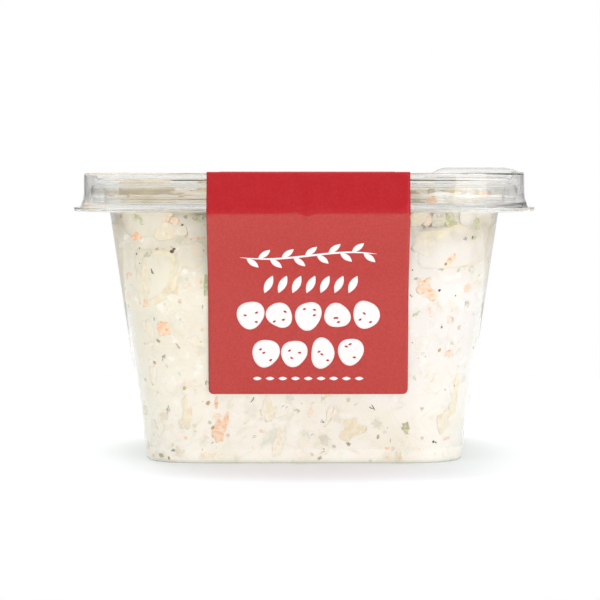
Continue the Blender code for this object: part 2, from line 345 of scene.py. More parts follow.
# The minced bits' colours, each with where its share of them begins
MINCED_COLOURS = (
    (0.00, (0.62, 0.52, 0.34)), (0.30, (0.50, 0.49, 0.30)), (0.48, (0.84, 0.50, 0.24)),
    (0.62, (0.60, 0.60, 0.50)), (0.80, (0.30, 0.27, 0.14)), (0.90, (0.70, 0.58, 0.40)),
)


# Materials

def new_group(name, inputs, outputs):
    """An empty node group with named sockets, given as (name, kind, default)."""
    group = bpy.data.node_groups.new(name, "ShaderNodeTree")
    for label, kind, default in inputs:
        socket = group.interface.new_socket(label, in_out="INPUT", socket_type=kind)
        socket.default_value = default
    for label, kind in outputs:
        group.interface.new_socket(label, in_out="OUTPUT", socket_type=kind)
    start = group.nodes.new("NodeGroupInput")
    end = group.nodes.new("NodeGroupOutput")
    return group, start, end


def object_coordinates(tree):
    """The piece's own coordinates."""
    return tree.nodes.new("ShaderNodeTexCoord").outputs["Object"]


def add_parts(tree, vector):
    """The X, Y and Z of a vector."""
    parts = tree.nodes.new("ShaderNodeSeparateXYZ")
    tree.links.new(vector, parts.inputs[0])
    return parts.outputs


def add_attribute(tree, name):
    """A value kept on the piece's own vertices."""
    node = tree.nodes.new("ShaderNodeAttribute")
    node.attribute_name = name
    return node.outputs["Fac"]


def add_noise(tree, coordinates, scale, detail=3.0, roughness=0.55, distortion=0.0):
    """A noise texture on these coordinates."""
    node = tree.nodes.new("ShaderNodeTexNoise")
    node.inputs["Detail"].default_value = detail
    node.inputs["Roughness"].default_value = roughness
    node.inputs["Distortion"].default_value = distortion
    tree.links.new(coordinates, node.inputs["Vector"])
    if isinstance(scale, float):
        node.inputs["Scale"].default_value = scale
    else:
        tree.links.new(scale, node.inputs["Scale"])
    return node.outputs["Fac"]


def add_range(tree, value, low, high, to_low=0.0, to_high=1.0):
    """Maps a value from one range to another, clamped and eased."""
    node = tree.nodes.new("ShaderNodeMapRange")
    node.interpolation_type = "SMOOTHSTEP"
    for name, number in (("From Min", low), ("From Max", high), ("To Min", to_low), ("To Max", to_high)):
        node.inputs[name].default_value = number
    tree.links.new(value, node.inputs["Value"])
    return node.outputs["Result"]


def add_math(tree, operation, first, second):
    """A Math node on two sockets or numbers."""
    node = tree.nodes.new("ShaderNodeMath")
    node.operation = operation
    for socket, value in zip(node.inputs, (first, second)):
        if isinstance(value, (int, float)):
            socket.default_value = value
        else:
            tree.links.new(value, socket)
    return node.outputs[0]


def add_mix(tree, factor, first, second):
    """Mixes two colours, given as sockets or plain values."""
    node = tree.nodes.new("ShaderNodeMix")
    node.data_type = "RGBA"
    sockets = (node.inputs["Factor"], node.inputs[6], node.inputs[7])
    for socket, value in zip(sockets, (factor, first, second)):
        if isinstance(value, bpy.types.NodeSocket):
            tree.links.new(value, socket)
        elif isinstance(value, tuple):
            socket.default_value = (*value, 1)
        else:
            socket.default_value = value
    return node.outputs[2]


def relief_group():
    """Fine relief at a named scale, as a normal."""
    inputs = (("Scale", "NodeSocketFloat", 300.0), ("Strength", "NodeSocketFloat", 0.2),
              ("Depth", "NodeSocketFloat", 0.0002))
    group, start, end = new_group("fine_relief", inputs, (("Normal", "NodeSocketVector"),))
    height = add_noise(group, object_coordinates(group), start.outputs["Scale"], 2.0)
    bump = group.nodes.new("ShaderNodeBump")
    group.links.new(start.outputs["Strength"], bump.inputs["Strength"])
    group.links.new(start.outputs["Depth"], bump.inputs["Distance"])
    group.links.new(height, bump.inputs["Height"])
    group.links.new(bump.outputs["Normal"], end.inputs["Normal"])
    return group


def tone_and_light_group():
    """The dressing's colour with light painted in: painted shade on the left, painted light on the right and
    towards the foot, and painted shade, tan, under the rim but for one heap.
    """
    group, _, end = new_group("dressing_tone_and_light", (), (("Colour", "NodeSocketColor"),))
    where = object_coordinates(group)
    parts = add_parts(group, where)
    # Painted shade on the left, painted light on the right.
    lit_to_right = add_range(group, parts["X"], -45 * MM, 45 * MM)
    colour = add_mix(group, lit_to_right, DRESSING_LEFT_SHADED, DRESSING_RIGHT_LIT)
    # Painted light towards the foot.
    lit_to_foot = add_range(group, parts["Z"], 34 * MM, 0.0, 0.0, 0.8)
    colour = add_mix(group, lit_to_foot, colour, DRESSING_FOOT_LIT)
    # Painted shade under the rim, in uneven patches.
    shade_to_rim = add_range(group, parts["Z"], 40 * MM, 61 * MM)
    uneven = add_range(group, add_noise(group, where, 110.0, 3.0), 0.35, 0.65, 0.4, 1.0)
    colour = add_mix(group, add_math(group, "MULTIPLY", shade_to_rim, uneven), colour, DRESSING_RIM_SHADE)
    heap = add_range(group, parts["Z"], 61 * MM, 63.5 * MM)
    for axis, low, high in (("X", 28 * MM, 34 * MM), ("Y", -26 * MM, -36 * MM)):
        heap = add_math(group, "MULTIPLY", heap, add_range(group, parts[axis], low, high))
    group.links.new(add_mix(group, heap, colour, DRESSING_WHITE), end.inputs["Colour"])
    return group


def add_group(tree, group):
    """A group node."""
    node = tree.nodes.new("ShaderNodeGroup")
    node.node_tree = group
    return node


def veil_group(tone_and_light):
    """Covers a colour with dressing: a patchy film, and a soft edge where the piece sinks under it."""
    inputs = (("Colour", "NodeSocketColor", (1, 1, 1, 1)), ("Edge", "NodeSocketFloat", 0.3))
    group, start, end = new_group("dressing_veil", inputs, (("Colour", "NodeSocketColor"),))
    patchy = add_noise(group, object_coordinates(group), 1000.0, 4.0, 0.6)
    patches = add_range(group, patchy, 0.3, 0.7, -VEIL_PATCHES, VEIL_PATCHES)
    cover = add_math(group, "ADD", add_attribute(group, "veil"), patches)
    depth = add_math(group, "DIVIDE", add_attribute(group, "show"), start.outputs["Edge"])
    sunk = add_range(group, add_math(group, "ADD", depth, patches), 0.0, 1.0, 1.0, 0.0)
    cover = add_range(group, add_math(group, "MAXIMUM", cover, sunk), 0.0, 1.0)
    # The dressing's colour here carries the painted shade and light of the tone group.
    colour = add_mix(group, cover, start.outputs["Colour"], add_group(group, tone_and_light).outputs["Colour"])
    group.links.new(colour, end.inputs["Colour"])
    return group


def minced_group():
    """Tiny bits of vegetable stirred through the dressing: their colour, and a mask of where they are."""
    inputs = (("Scale", "NodeSocketFloat", 400.0), ("Share", "NodeSocketFloat", 0.5),
              ("Radius", "NodeSocketFloat", 0.3))
    outputs = (("Colour", "NodeSocketColor"), ("Mask", "NodeSocketFloat"))
    group, start, end = new_group("minced_bits", inputs, outputs)
    where = object_coordinates(group)
    bits = group.nodes.new("ShaderNodeTexVoronoi")
    group.links.new(where, bits.inputs["Vector"])
    group.links.new(start.outputs["Scale"], bits.inputs["Scale"])
    chance = group.nodes.new("ShaderNodeSeparateColor")
    group.links.new(bits.outputs["Color"], chance.inputs[0])
    rough = add_range(group, add_noise(group, where, 1500.0, 3.0), 0.3, 0.7, -0.12, 0.12)
    far = add_math(group, "ADD", bits.outputs["Distance"], rough)
    inside = add_range(group, add_math(group, "DIVIDE", far, start.outputs["Radius"]), 0.6, 1.0, 1.0, 0.0)
    chosen = add_math(group, "LESS_THAN", chance.outputs["Red"], start.outputs["Share"])
    strength = add_range(group, chance.outputs["Blue"], 0.0, 1.0, 0.25, 1.0)
    strong = add_math(group, "MULTIPLY", chosen, strength)
    group.links.new(add_math(group, "MULTIPLY", inside, strong), end.inputs["Mask"])
    ramp = group.nodes.new("ShaderNodeValToRGB")
    ramp.color_ramp.interpolation = "CONSTANT"
    for index, (place, colour) in enumerate(MINCED_COLOURS):
        stop = ramp.color_ramp.elements[0] if index == 0 else ramp.color_ramp.elements.new(place)
        stop.position = place
        stop.color = (*colour, 1)
    ramp.color_ramp.elements.remove(ramp.color_ramp.elements[-1])
    group.links.new(chance.outputs["Green"], ramp.inputs["Fac"])
    group.links.new(ramp.outputs["Color"], end.inputs["Colour"])
    return group


def new_material(name, roughness, subsurface=0.0):
    """A Principled material, its tree and its shader."""
    material = bpy.data.materials.new(name)
    material.use_nodes = True
    shader = material.node_tree.nodes["Principled BSDF"]
    shader.inputs["Roughness"].default_value = roughness
    if subsurface:
        shader.inputs["Subsurface Weight"].default_value = subsurface
        shader.inputs["Subsurface Radius"].default_value = (1.0, 0.75, 0.5)
        shader.inputs["Subsurface Scale"].default_value = 1.5 * MM
    return material, material.node_tree, shader


def add_relief(tree, shader, relief, scale, strength, depth):
    """Feeds a shader's normal from the fine relief group."""
    node = add_group(tree, relief)
    node.inputs["Scale"].default_value = scale
    node.inputs["Strength"].default_value = strength
    node.inputs["Depth"].default_value = depth
    tree.links.new(node.outputs["Normal"], shader.inputs["Normal"])


def veiled(tree, shader, veil, colour, edge):
    """Feeds a shader's colour through the dressing. The edge is how soft its rim is, in millimetres."""
    node = add_group(tree, veil)
    node.inputs["Edge"].default_value = edge
    tree.links.new(colour, node.inputs["Colour"])
    tree.links.new(node.outputs["Colour"], shader.inputs["Base Color"])


def clear_plastic(name, relief, tint, bend, wave_scale, wave_depth):
    """Clear formed sheet. Rays from the lamps and between dull surfaces pass it unbent."""
    material, tree, shader = new_material(name, 0.04)
    haze = add_noise(tree, object_coordinates(tree), 160.0, 5.0)
    tree.links.new(add_range(tree, haze, 0.45, 0.8, 0.03, 0.10), shader.inputs["Roughness"])
    shader.inputs["Base Color"].default_value = (*tint, 1)
    shader.inputs["IOR"].default_value = bend
    shader.inputs["Transmission Weight"].default_value = 1.0
    add_relief(tree, shader, relief, wave_scale, 1.0, wave_depth)
    path = tree.nodes.new("ShaderNodeLightPath")
    straight = add_math(tree, "MAXIMUM", path.outputs["Is Shadow Ray"], path.outputs["Is Diffuse Ray"])
    through = tree.nodes.new("ShaderNodeBsdfTransparent")
    through.inputs["Color"].default_value = (*tint, 1)
    choose = tree.nodes.new("ShaderNodeMixShader")
    tree.links.new(straight, choose.inputs["Fac"])
    tree.links.new(shader.outputs["BSDF"], choose.inputs[1])
    tree.links.new(through.outputs["BSDF"], choose.inputs[2])
    tree.links.new(choose.outputs["Shader"], tree.nodes["Material Output"].inputs["Surface"])
    return material


def label_front(relief):
    """Red printed film with a satin coat and a faint grain. The lower panel's red is duller than the band's,
    a painted haze of the floor's reflection.
    """
    material, tree, shader = new_material("label_red_film", 0.36)
    where = object_coordinates(tree)
    grain = add_range(tree, add_noise(tree, where, 1800.0, 2.0), 0.3, 0.7)
    bent = add_mix(tree, grain, *RED_BENT)
    # The panel's colour carries a painted haze of reflected floor light.
    stuck_hazed = add_mix(tree, grain, *RED_STUCK_HAZED)
    flat = add_range(tree, add_attribute(tree, "panel"), 0.5, 0.75)
    tree.links.new(add_mix(tree, flat, bent, stuck_hazed), shader.inputs["Base Color"])
    worn = add_range(tree, add_noise(tree, where, 220.0, 4.0), 0.35, 0.75, 0.30, 0.42)
    tree.links.new(worn, shader.inputs["Roughness"])
    shader.inputs["Specular IOR Level"].default_value = 0.4
    add_relief(tree, shader, relief, *FILM_RELIEF)
    return material


def plain_print(name, relief, light, dark):
    """Printed ink or bare paper, in two close shades."""
    material, tree, shader = new_material(name, 0.42)
    grain = add_range(tree, add_noise(tree, object_coordinates(tree), 1500.0, 3.0), 0.35, 0.65)
    tree.links.new(add_mix(tree, grain, light, dark), shader.inputs["Base Color"])
    add_relief(tree, shader, relief, *FILM_RELIEF)
    return material


def add_minced(tree, minced, colour, scale, share, radius, most):
    """Adds one size of minced bits to a colour."""
    node = add_group(tree, minced)
    for name, value in (("Scale", scale), ("Share", share), ("Radius", radius)):
        node.inputs[name].default_value = value
    mask = add_math(tree, "MULTIPLY", node.outputs["Mask"], most)
    return add_mix(tree, mask, colour, node.outputs["Colour"])


def dressing_material(relief, minced, tone_and_light):
    """Creamy dressing: mottled beige, tan, grey and white, with minced bits, and painted shade, brown, in its
    pockets.
    """
    material, tree, shader = new_material("creamy_dressing", 0.35, 0.25)
    where = object_coordinates(tree)
    colour = add_group(tree, tone_and_light).outputs["Colour"]
    for scale, detail, roughness, distortion, low, high, most, shade in DRESSING_PATCHES:
        patches = add_noise(tree, where, scale, detail, roughness, distortion)
        colour = add_mix(tree, add_range(tree, patches, low, high, 0.0, most), colour, shade)
    crease = add_math(tree, "SUBTRACT", add_noise(tree, where, 75.0, 4.0, 0.5, 1.5), 0.5)
    crease = add_range(tree, add_math(tree, "ABSOLUTE", crease, 0), 0.0, 0.02, 0.2, 0.0)
    colour = add_mix(tree, crease, colour, CREASE_TAN)
    colour = add_minced(tree, minced, colour, scale=230.0, share=0.30, radius=0.36, most=0.55)
    colour = add_minced(tree, minced, colour, scale=560.0, share=0.16, radius=0.34, most=0.9)
    # Painted shade: browner where the dressing falls back into air pockets.
    pocket_shade = add_range(tree, add_attribute(tree, "pocket_shade"), 0.0, 1.0, 0.0, 0.75)
    tree.links.new(add_mix(tree, pocket_shade, colour, POCKET_SHADE), shader.inputs["Base Color"])
    add_relief(tree, shader, relief, 700.0, 0.5, 0.12 * MM)
    return material


def potato_material(relief, veil, tone_and_light):
    """Boiled potato: a broken tan band inside its rim, pale and mealy farther in."""
    material, tree, shader = new_material("boiled_potato", 0.4, 0.1)
    where = object_coordinates(tree)
    wander = add_range(tree, add_noise(tree, where, 260.0, 4.0, 0.6, 0.6), 0.3, 0.7, -0.6, 0.6)
    inside_rim = add_math(tree, "ADD", add_attribute(tree, "show"), wander)
    band = add_range(tree, inside_rim, 1.1, 2.5, 1.0, 0.0)
    broken = add_range(tree, add_noise(tree, where, 85.0, 2.0), 0.35, 0.50, 0.2, 1.0)
    mealy = add_range(tree, add_noise(tree, where, 480.0, 4.0), 0.35, 0.65)
    speckled = add_range(tree, mealy, 0.0, 1.0, 0.0, 0.35)
    # The pale flesh takes the dressing's colour, with its painted shade and light.
    pale = add_mix(tree, speckled, add_group(tree, tone_and_light).outputs["Colour"], POTATO_MEALY)
    tan = add_mix(tree, mealy, *POTATO_RIM)
    colour = add_mix(tree, add_math(tree, "MULTIPLY", band, broken), pale, tan)
    veiled(tree, shader, veil, colour, 0.4)
    add_relief(tree, shader, relief, 600.0, 0.4, 0.12 * MM)
    return material


def bit_material(name, relief, veil, shades, scale, edge=0.25):
    """A small vegetable bit in two shades, with dressing over it."""
    material, tree, shader = new_material(name, 0.38)
    spots = add_range(tree, add_noise(tree, object_coordinates(tree), scale, 3.0), 0.42, 0.62)
    veiled(tree, shader, veil, add_mix(tree, spots, *shades), edge)
    add_relief(tree, shader, relief, *BIT_RELIEF)
    return material


def carrot_material(relief, veil):
    """Carrot: pale orange flesh with a few vivid spots and fibres."""
    material, tree, shader = new_material("carrot", 0.38)
    where = object_coordinates(tree)
    pale = add_range(tree, add_noise(tree, where, 900.0, 2.0), 0.3, 0.7)
    colour = add_mix(tree, pale, *CARROT_FLESH)
    vivid = add_range(tree, add_noise(tree, where, 1300.0, 2.0), 0.58, 0.66)
    veiled(tree, shader, veil, add_mix(tree, vivid, colour, CARROT_VIVID), 0.2)
    add_relief(tree, shader, relief, *BIT_RELIEF)
    return material


# The plastic

def sweep(profile, straight):
    """Sweeps a profile of (half width, height) points round a rounded square."""
    bm = bmesh.new()
    verts = [bm.verts.new((half, -straight, z)) for half, z in profile]
    last = verts + [bm.edges.new(pair) for pair in zip(verts, verts[1:])]
    for side in range(4):
        turn = Matrix.Rotation(side * math.pi / 2, 3, "Z")
        step = turn @ Vector((0, 2 * straight / SIDE_STEPS, 0))
        last = bmesh.ops.spin(bm, geom=last, cent=(0, 0, 0), axis=UP, dvec=step, angle=0,
                              steps=SIDE_STEPS)["geom_last"]
        last = bmesh.ops.spin(bm, geom=last, cent=turn @ Vector((straight, straight, 0)), axis=UP,
                              angle=math.pi / 2, steps=CORNER_STEPS)["geom_last"]
    bmesh.ops.remove_doubles(bm, verts=bm.verts, dist=0.001 * MM)
    return bm


def cap_and_face(bm, height, direction):
    """Closes the hole of a swept sheet at this height, and turns the sheet to face this way there."""
    rim = [edge for edge in bm.edges if edge.is_boundary
           and all(abs(vert.co.z - height) < 0.01 * MM for vert in edge.verts)]
    cap = bmesh.ops.contextual_create(bm, geom=rim)["faces"][0]
    bmesh.ops.recalc_face_normals(bm, faces=bm.faces)
    cap.normal_update()
    if cap.normal.z * direction < 0:
        bmesh.ops.reverse_faces(bm, faces=bm.faces)
    bmesh.ops.inset_region(bm, faces=[cap], thickness=CAP_INSET, use_even_offset=True)


def tub_profile():
    """The tub's outer side: foot, wall, shoulder, hollow bead with two ribs, flange and lip."""
    top = BEAD_Z - SHEET
    groove_half = BEAD_OUTER - GROOVE_DEPTH
    groove_top = top - GROOVE_DROP
    groove_foot = groove_top - GROOVE_HEIGHT
    corners = [
        (FOOT_HALF - FOOT_FILLET * 2, 0, 0),
        (FOOT_HALF, 0, FOOT_FILLET),
        (wall_half(FLANGE_Z), FLANGE_Z - DRAFT, 0.8 * MM),
        (BEAD_INNER, SHOULDER_Z, 0.7 * MM),
        (BEAD_INNER - DRAFT * 2, SHOULDER_Z + SHOULDER_RISE, 0.8 * MM),
        (BEAD_INNER, top, BEAD_BEND),
        (BEAD_OUTER, top, BEAD_BEND),
        (BEAD_OUTER, groove_top + GROOVE_SLOPE, 0.3 * MM),
        (groove_half, groove_top, 0.25 * MM),
        (groove_half, groove_foot, 0.25 * MM),
        (BEAD_OUTER + DRAFT, groove_foot - GROOVE_SLOPE, 0.3 * MM),
        (BEAD_OUTER + DRAFT, FLANGE_Z, 0.6 * MM),
        (FLANGE_HALF - DRAFT, FLANGE_Z, LIP_BEND),
        (FLANGE_HALF, LIP_TOP, 0),
    ]
    return rounded_line(corners)


def ease_wall_corners(bm):
    """Tightens the corners of the tub's wall towards its foot."""
    for vert in bm.verts:
        across, along = abs(vert.co.x) - RIM_STRAIGHT, abs(vert.co.y) - RIM_STRAIGHT
        if RIM_STRAIGHT + math.hypot(max(across, 0), max(along, 0)) > WALL_TOP_HALF + 0.4 * MM:
            continue
        straight = wall_straight(vert.co.z)
        if across > 0 and along > 0:
            old = math.hypot(across, along)
            grown = (old + RIM_STRAIGHT - straight) / old
            vert.co.x = math.copysign(straight + across * grown, vert.co.x)
            vert.co.y = math.copysign(straight + along * grown, vert.co.y)
        elif across > 0:
            vert.co.y *= straight / RIM_STRAIGHT
        else:
            vert.co.x *= straight / RIM_STRAIGHT


def make_tub(material):
    """The clear tub."""
    bm = sweep(tub_profile(), RIM_STRAIGHT)
    ease_wall_corners(bm)
    cap_and_face(bm, 0, -1)
    tub = add_piece("clear_tub", bm, material, "tub")
    thicken(tub, SHEET)
    vary_sheet(tub, lambda place: min(foot_share(place.z),
                                      rim_share(place, BEAD_OUTER, FLANGE_HALF, FLANGE_TIP_SHARE)))


def make_lid(material):
    """The clear snap lid: panel, raised ring, skirt and flared foot."""
    corners = [
        (RING_INNER - PANEL_RIM, PANEL_Z, 0),
        (RING_INNER - RING_SLOPE, PANEL_Z, 0.5 * MM),
        (RING_INNER, LID_TOP, RING_BEND),
        (SKIRT_HALF, LID_TOP, RING_BEND),
        (SKIRT_HALF + DRAFT / 2, FLARE_Z, 1.2 * MM),
        (SKIRT_FOOT_HALF, SKIRT_FOOT_Z, 0),
    ]
    bm = sweep(rounded_line(corners), RIM_STRAIGHT)
    cap_and_face(bm, PANEL_Z, 1)
    lid = add_piece("clear_lid", bm, material, "lid")
    thicken(lid, SHEET)
    vary_sheet(lid, lambda place: rim_share(place, SKIRT_HALF, SKIRT_FOOT_HALF, SKIRT_FOOT_SHARE))


def make_finger_pad(material):
    """The clear pad raised over the lid's right side, with sloping ends."""
    bm = bmesh.new()
    bmesh.ops.create_grid(bm, x_segments=64, y_segments=40, size=1)
    for vert in bm.verts:
        x = PAD_LEFT + (vert.co.x + 1) / 2 * (PAD_RIGHT - PAD_LEFT)
        y = PAD_FRONT + (vert.co.y + 1) / 2 * (PAD_BACK - PAD_FRONT)
        left = smoothstep(PAD_LEFT, PAD_LEFT + PAD_LEFT_SLOPE, x)
        sides = smoothstep(0, PAD_SIDE_SLOPE, min(y - PAD_FRONT, PAD_BACK - y))
        right = smoothstep(PAD_RIGHT, PAD_RIGHT - PAD_RIGHT_SLOPE, x)
        low = PANEL_Z + PAD_SHEET + (LID_TOP - PANEL_Z) * smoothstep(*PAD_OVER_RING, x)
        crease_at = PAD_CREASE_AT - (y - PAD_FRONT) * PAD_CREASE_LEAN
        top = PAD_TOP - PAD_CREASE_DEPTH * bell(x, crease_at, PAD_CREASE_WIDTH)
        vert.co = (x, y, low + (top - low) * min(left, right) * sides)
    thicken(add_piece("lid_finger_pad", bm, material, "lid"), PAD_SHEET)


# The label

def strap_line():
    """The strap's outer side in section, as (distance from the middle, height), from foot to middle."""
    lift = LABEL_LIFT + LABEL_SHEET
    corners = [
        (wall_half(LABEL_FOOT_Z) + lift, LABEL_FOOT_Z, 0),
        (wall_half(LABEL_LANDING_Z) + lift, LABEL_LANDING_Z, 5 * MM),
        (FLANGE_HALF + lift + 0.2 * MM, FOLD_Z - 0.3 * MM, 0.3 * MM),
        (FLANGE_HALF + lift + 0.1 * MM, BAND_Z, 1.2 * MM),
        (SKIRT_HALF + lift, LID_TOP + lift, 0.5 * MM),
        (RING_INNER + 0.3 * MM, LID_TOP + lift, 0.5 * MM),
        (RING_INNER - 3.3 * MM, PANEL_Z + lift, 2 * MM),
        (0, PANEL_Z + lift, 0),
    ]
    start, *rest = rounded_line(corners, 6)
    line = [start]
    for point in rest:
        start, gap = line[-1].copy(), (point - line[-1]).length
        cuts = math.ceil(gap / STRAP_GAP_MOST)
        if gap > STRAP_GAP_LEAST:
            line += [start.lerp(point, (cut + 1) / cuts) for cut in range(cuts)]
    return [line[0].lerp(line[1], share) for share in STRAP_FOOT_SHARES] + line[1:]


def strap_lengths(line):
    """Length along the line at each of its points."""
    lengths = [0.0]
    for first, second in zip(line, line[1:]):
        lengths.append(lengths[-1] + (second - first).length)
    return lengths


STRAP = strap_line()
STRAP_LENGTHS = strap_lengths(STRAP)
FOLD_AT = next(along for point, along in zip(STRAP, STRAP_LENGTHS) if point.y > FOLD_Z)


def dent(x, along):
    """How far the strap's front stands out from its line: soft dents in its band, and one at the fold."""
    past_fold = along - FOLD_AT
    on_band = smoothstep(0, 2 * MM, past_fold) * smoothstep(10.5 * MM, 8 * MM, past_fold)
    band = bumps(x, BAND_DENTS) + 0.10 * MM * ripple(x, along, 9 * MM, 7 * MM, 3.0)
    band -= bumps(x, [FOLD_DENT]) * bell(past_fold, 0, FOLD_DENT_LENGTH)
    on_panel = smoothstep(1 * MM, -3 * MM, past_fold) * smoothstep(0, 12 * MM, along)
    panel = 0.14 * MM * ripple(x, along, 11 * MM, 9 * MM, 8.0)
    return band * on_band + panel * on_panel


def fold_dip(x, along):
    """How far the strap's fold hangs lower round its one wrinkle, with a rise beside it."""
    return bell(along, FOLD_AT, FOLD_WRINKLE_LENGTH) * (bumps(x, FOLD_WRINKLES) - FOLD_TILT * x)


def on_strap(x, along, lift=0.0):
    """A point on the strap's front, this far from its foot and this far off its surface."""
    index = next((i for i, length in enumerate(STRAP_LENGTHS) if i and length >= along), len(STRAP) - 1)
    first, second = STRAP[index - 1], STRAP[index]
    span = STRAP_LENGTHS[index] - STRAP_LENGTHS[index - 1]
    point = first.lerp(second, (along - STRAP_LENGTHS[index - 1]) / span)
    before, after = STRAP[max(index - 2, 0)], STRAP[min(index + 1, len(STRAP) - 1)]
    run = (after - before).normalized()
    out = Vector((run.y, -run.x)) * (lift + dent(x, along))
    return Vector((x, -(point.x + out.x), point.y + out.y - fold_dip(x, along)))


def strap_half_width(along):
    """The strap's half width, less at its rounded corners."""
    short = LABEL_CORNER - along
    if short <= 0:
        return LABEL_WIDTH / 2
    return LABEL_WIDTH / 2 - LABEL_CORNER + math.sqrt(max(LABEL_CORNER ** 2 - short ** 2, 0))


def make_label(front, under):
    """The strap, front and back, with white paper on its under side."""
    rows = len(STRAP) - 1
    bm = bmesh.new()
    panel = bm.verts.layers.float.new("panel")
    bmesh.ops.create_grid(bm, x_segments=56, y_segments=2 * rows, size=1)
    for vert in bm.verts:
        row = round((vert.co.y + 1) * rows)
        step = row if row <= rows else 2 * rows - row
        along = STRAP_LENGTHS[step]
        vert[panel] = float(along < FOLD_AT)
        x = LABEL_SHIFT + vert.co.x * strap_half_width(along)
        point = on_strap(x, along)
        if row > rows:
            point.y = -point.y
        vert.co = point
    bmesh.ops.recalc_face_normals(bm, faces=bm.faces)
    bm.faces.ensure_lookup_table()
    if bm.faces[0].normal.y > 0:
        bmesh.ops.reverse_faces(bm, faces=bm.faces)
    label = add_piece("label_strap", bm, front, "label")
    label.data.materials.append(under)
    solidify = thicken(label, LABEL_SHEET, False)
    solidify.material_offset = 1


# The print: heights on the strap's front, as lengths from its foot, and sizes as length and width
PRINT_SEED = 5
SPRIG_AT, SPRIG_LENGTH = 35.6 * MM, 33.0 * MM
STEM_WIDTH = 0.56 * MM
STEM_WAVE, STEM_BENDS = 1.0 * MM, 2.6
SPRIG_LEAVES, SPRIG_LEAF = 11, (3.9 * MM, 1.55 * MM)
SPRIG_LEAF_FROM, SPRIG_LEAF_STEP = -0.86, 0.17
SPRIG_LEAF_SHIFT, SPRIG_LEAF_OUT, SPRIG_LEAF_TURN = 0.8 * MM, 1.35 * MM, 0.75
LEAF_ROW_AT, LEAF_ROW_LEFT, LEAF_PITCH = 27.4 * MM, -9.6 * MM, 3.4 * MM
LEAVES, LEAF, LEAF_TURN = 7, (5.0 * MM, 1.9 * MM), 1.15
POTATO_HEIGHT = 7.2 * MM
POTATO_ROWS = ((19.6 * MM, 5, 35.0 * MM), (10.4 * MM, 4, 27.5 * MM))
POTATO_EYE = 0.9 * MM, 0.5 * MM
DASH_ROW_AT, DASH_ROW_LEFT, DASH_PITCH = 3.9 * MM, -12.4 * MM, 3.1 * MM
DASHES, DASH = 9, (2.1 * MM, 0.9 * MM)


def add_shape(bm, outline, centre, turn, segments=8):
    """A flat shape on the strap's front. The outline maps a point of the unit disc to sizes."""
    made = bmesh.ops.create_grid(bm, x_segments=segments, y_segments=segments, size=1)
    spin = Matrix.Rotation(turn, 2)
    for vert in made["verts"]:
        x, y = onto_rounded_square(vert.co.x, vert.co.y, 1, 0)
        place = Vector(centre) + spin @ Vector(outline(x, y))
        vert.co = on_strap(place.x, place.y, PRINT_LIFT)


def leaf(length, width):
    """A pointed leaf."""
    return lambda x, y: (x * length / 2, y * width / 2 * (1 - abs(x) ** 2.2 * 0.6))


def potato(length, width, phase):
    """A lumpy oval."""
    def outline(x, y):
        angle = math.atan2(y, x)
        lump = 1 + 0.06 * math.cos(2 * angle + phase) + 0.05 * math.cos(3 * angle + phase * 2)
        return (x * length / 2 * lump, y * width / 2 * lump)
    return outline


def add_sprig(bm):
    """A long curved stem with leaves along both sides."""
    def stem(x, y):
        return (x * SPRIG_LENGTH / 2, STEM_WAVE * math.sin(x * STEM_BENDS) + y * STEM_WIDTH / 2)
    add_shape(bm, stem, (LABEL_SHIFT, SPRIG_AT), 0, 24)
    for index in range(SPRIG_LEAVES):
        x, y = stem(SPRIG_LEAF_FROM + index * SPRIG_LEAF_STEP, 0)
        side = 1 if index % 2 else -1
        spot = (LABEL_SHIFT + x + SPRIG_LEAF_SHIFT, SPRIG_AT + y + side * SPRIG_LEAF_OUT)
        add_shape(bm, leaf(*SPRIG_LEAF), spot, side * SPRIG_LEAF_TURN)


def add_row(bm, count, left, pitch, height, size, turn=0, segments=6):
    """A row of leaves or dashes, from the left."""
    for index in range(count):
        add_shape(bm, leaf(*size), (LABEL_SHIFT + left + index * pitch, height), turn, segments)


def make_print(ink, red):
    """The print: a sprig, a row of leaves, two rows of potatoes and a row of dashes."""
    draw = random.Random(PRINT_SEED)
    bm = bmesh.new()
    eyes = bmesh.new()
    add_sprig(bm)
    add_row(bm, LEAVES, LEAF_ROW_LEFT, LEAF_PITCH, LEAF_ROW_AT, LEAF, LEAF_TURN, 8)
    for height, count, width in POTATO_ROWS:
        pitch = width / count
        for index in range(count):
            x = LABEL_SHIFT - width / 2 + (index + 0.5) * pitch
            spot = Vector((x, height + draw.uniform(-0.3, 0.3) * MM))
            size = Vector((pitch * draw.uniform(0.86, 0.94), POTATO_HEIGHT * draw.uniform(0.85, 1.02)))
            add_shape(bm, potato(*size, draw.uniform(0, 6)), spot, draw.uniform(-0.25, 0.25), 12)
            for _ in range(3):
                eye = spot + size * Vector([draw.uniform(-0.26, 0.26) for _ in range(2)])
                add_shape(eyes, leaf(*POTATO_EYE), eye, draw.uniform(-0.6, 0.6), 4)
    add_row(bm, DASHES, DASH_ROW_LEFT, DASH_PITCH, DASH_ROW_AT, DASH)
    for vert in eyes.verts:
        vert.co += Vector((0, -PRINT_LIFT * 1.5, 0))
    for name, mesh, material in (("label_print", bm, ink), ("label_print_eyes", eyes, red)):
        bmesh.ops.recalc_face_normals(mesh, faces=mesh.faces)
        flipped = [face for face in mesh.faces if face.normal.y > 0]
        bmesh.ops.reverse_faces(mesh, faces=flipped)
        thicken(add_piece(name, mesh, material, "label"), PRINT_LIFT / 2, False)


# The salad

def top_height(x, y):
    """The salad's uneven top."""
    lumps = 2.6 * MM * ripple(x, y, 13 * MM, 13 * MM, 1.7) + 0.9 * MM * ripple(x, y, 5 * MM, 5 * MM, 4.1)
    return min(SALAD_LEVEL + lumps, LID_UNDER + DRESSING_REACH)


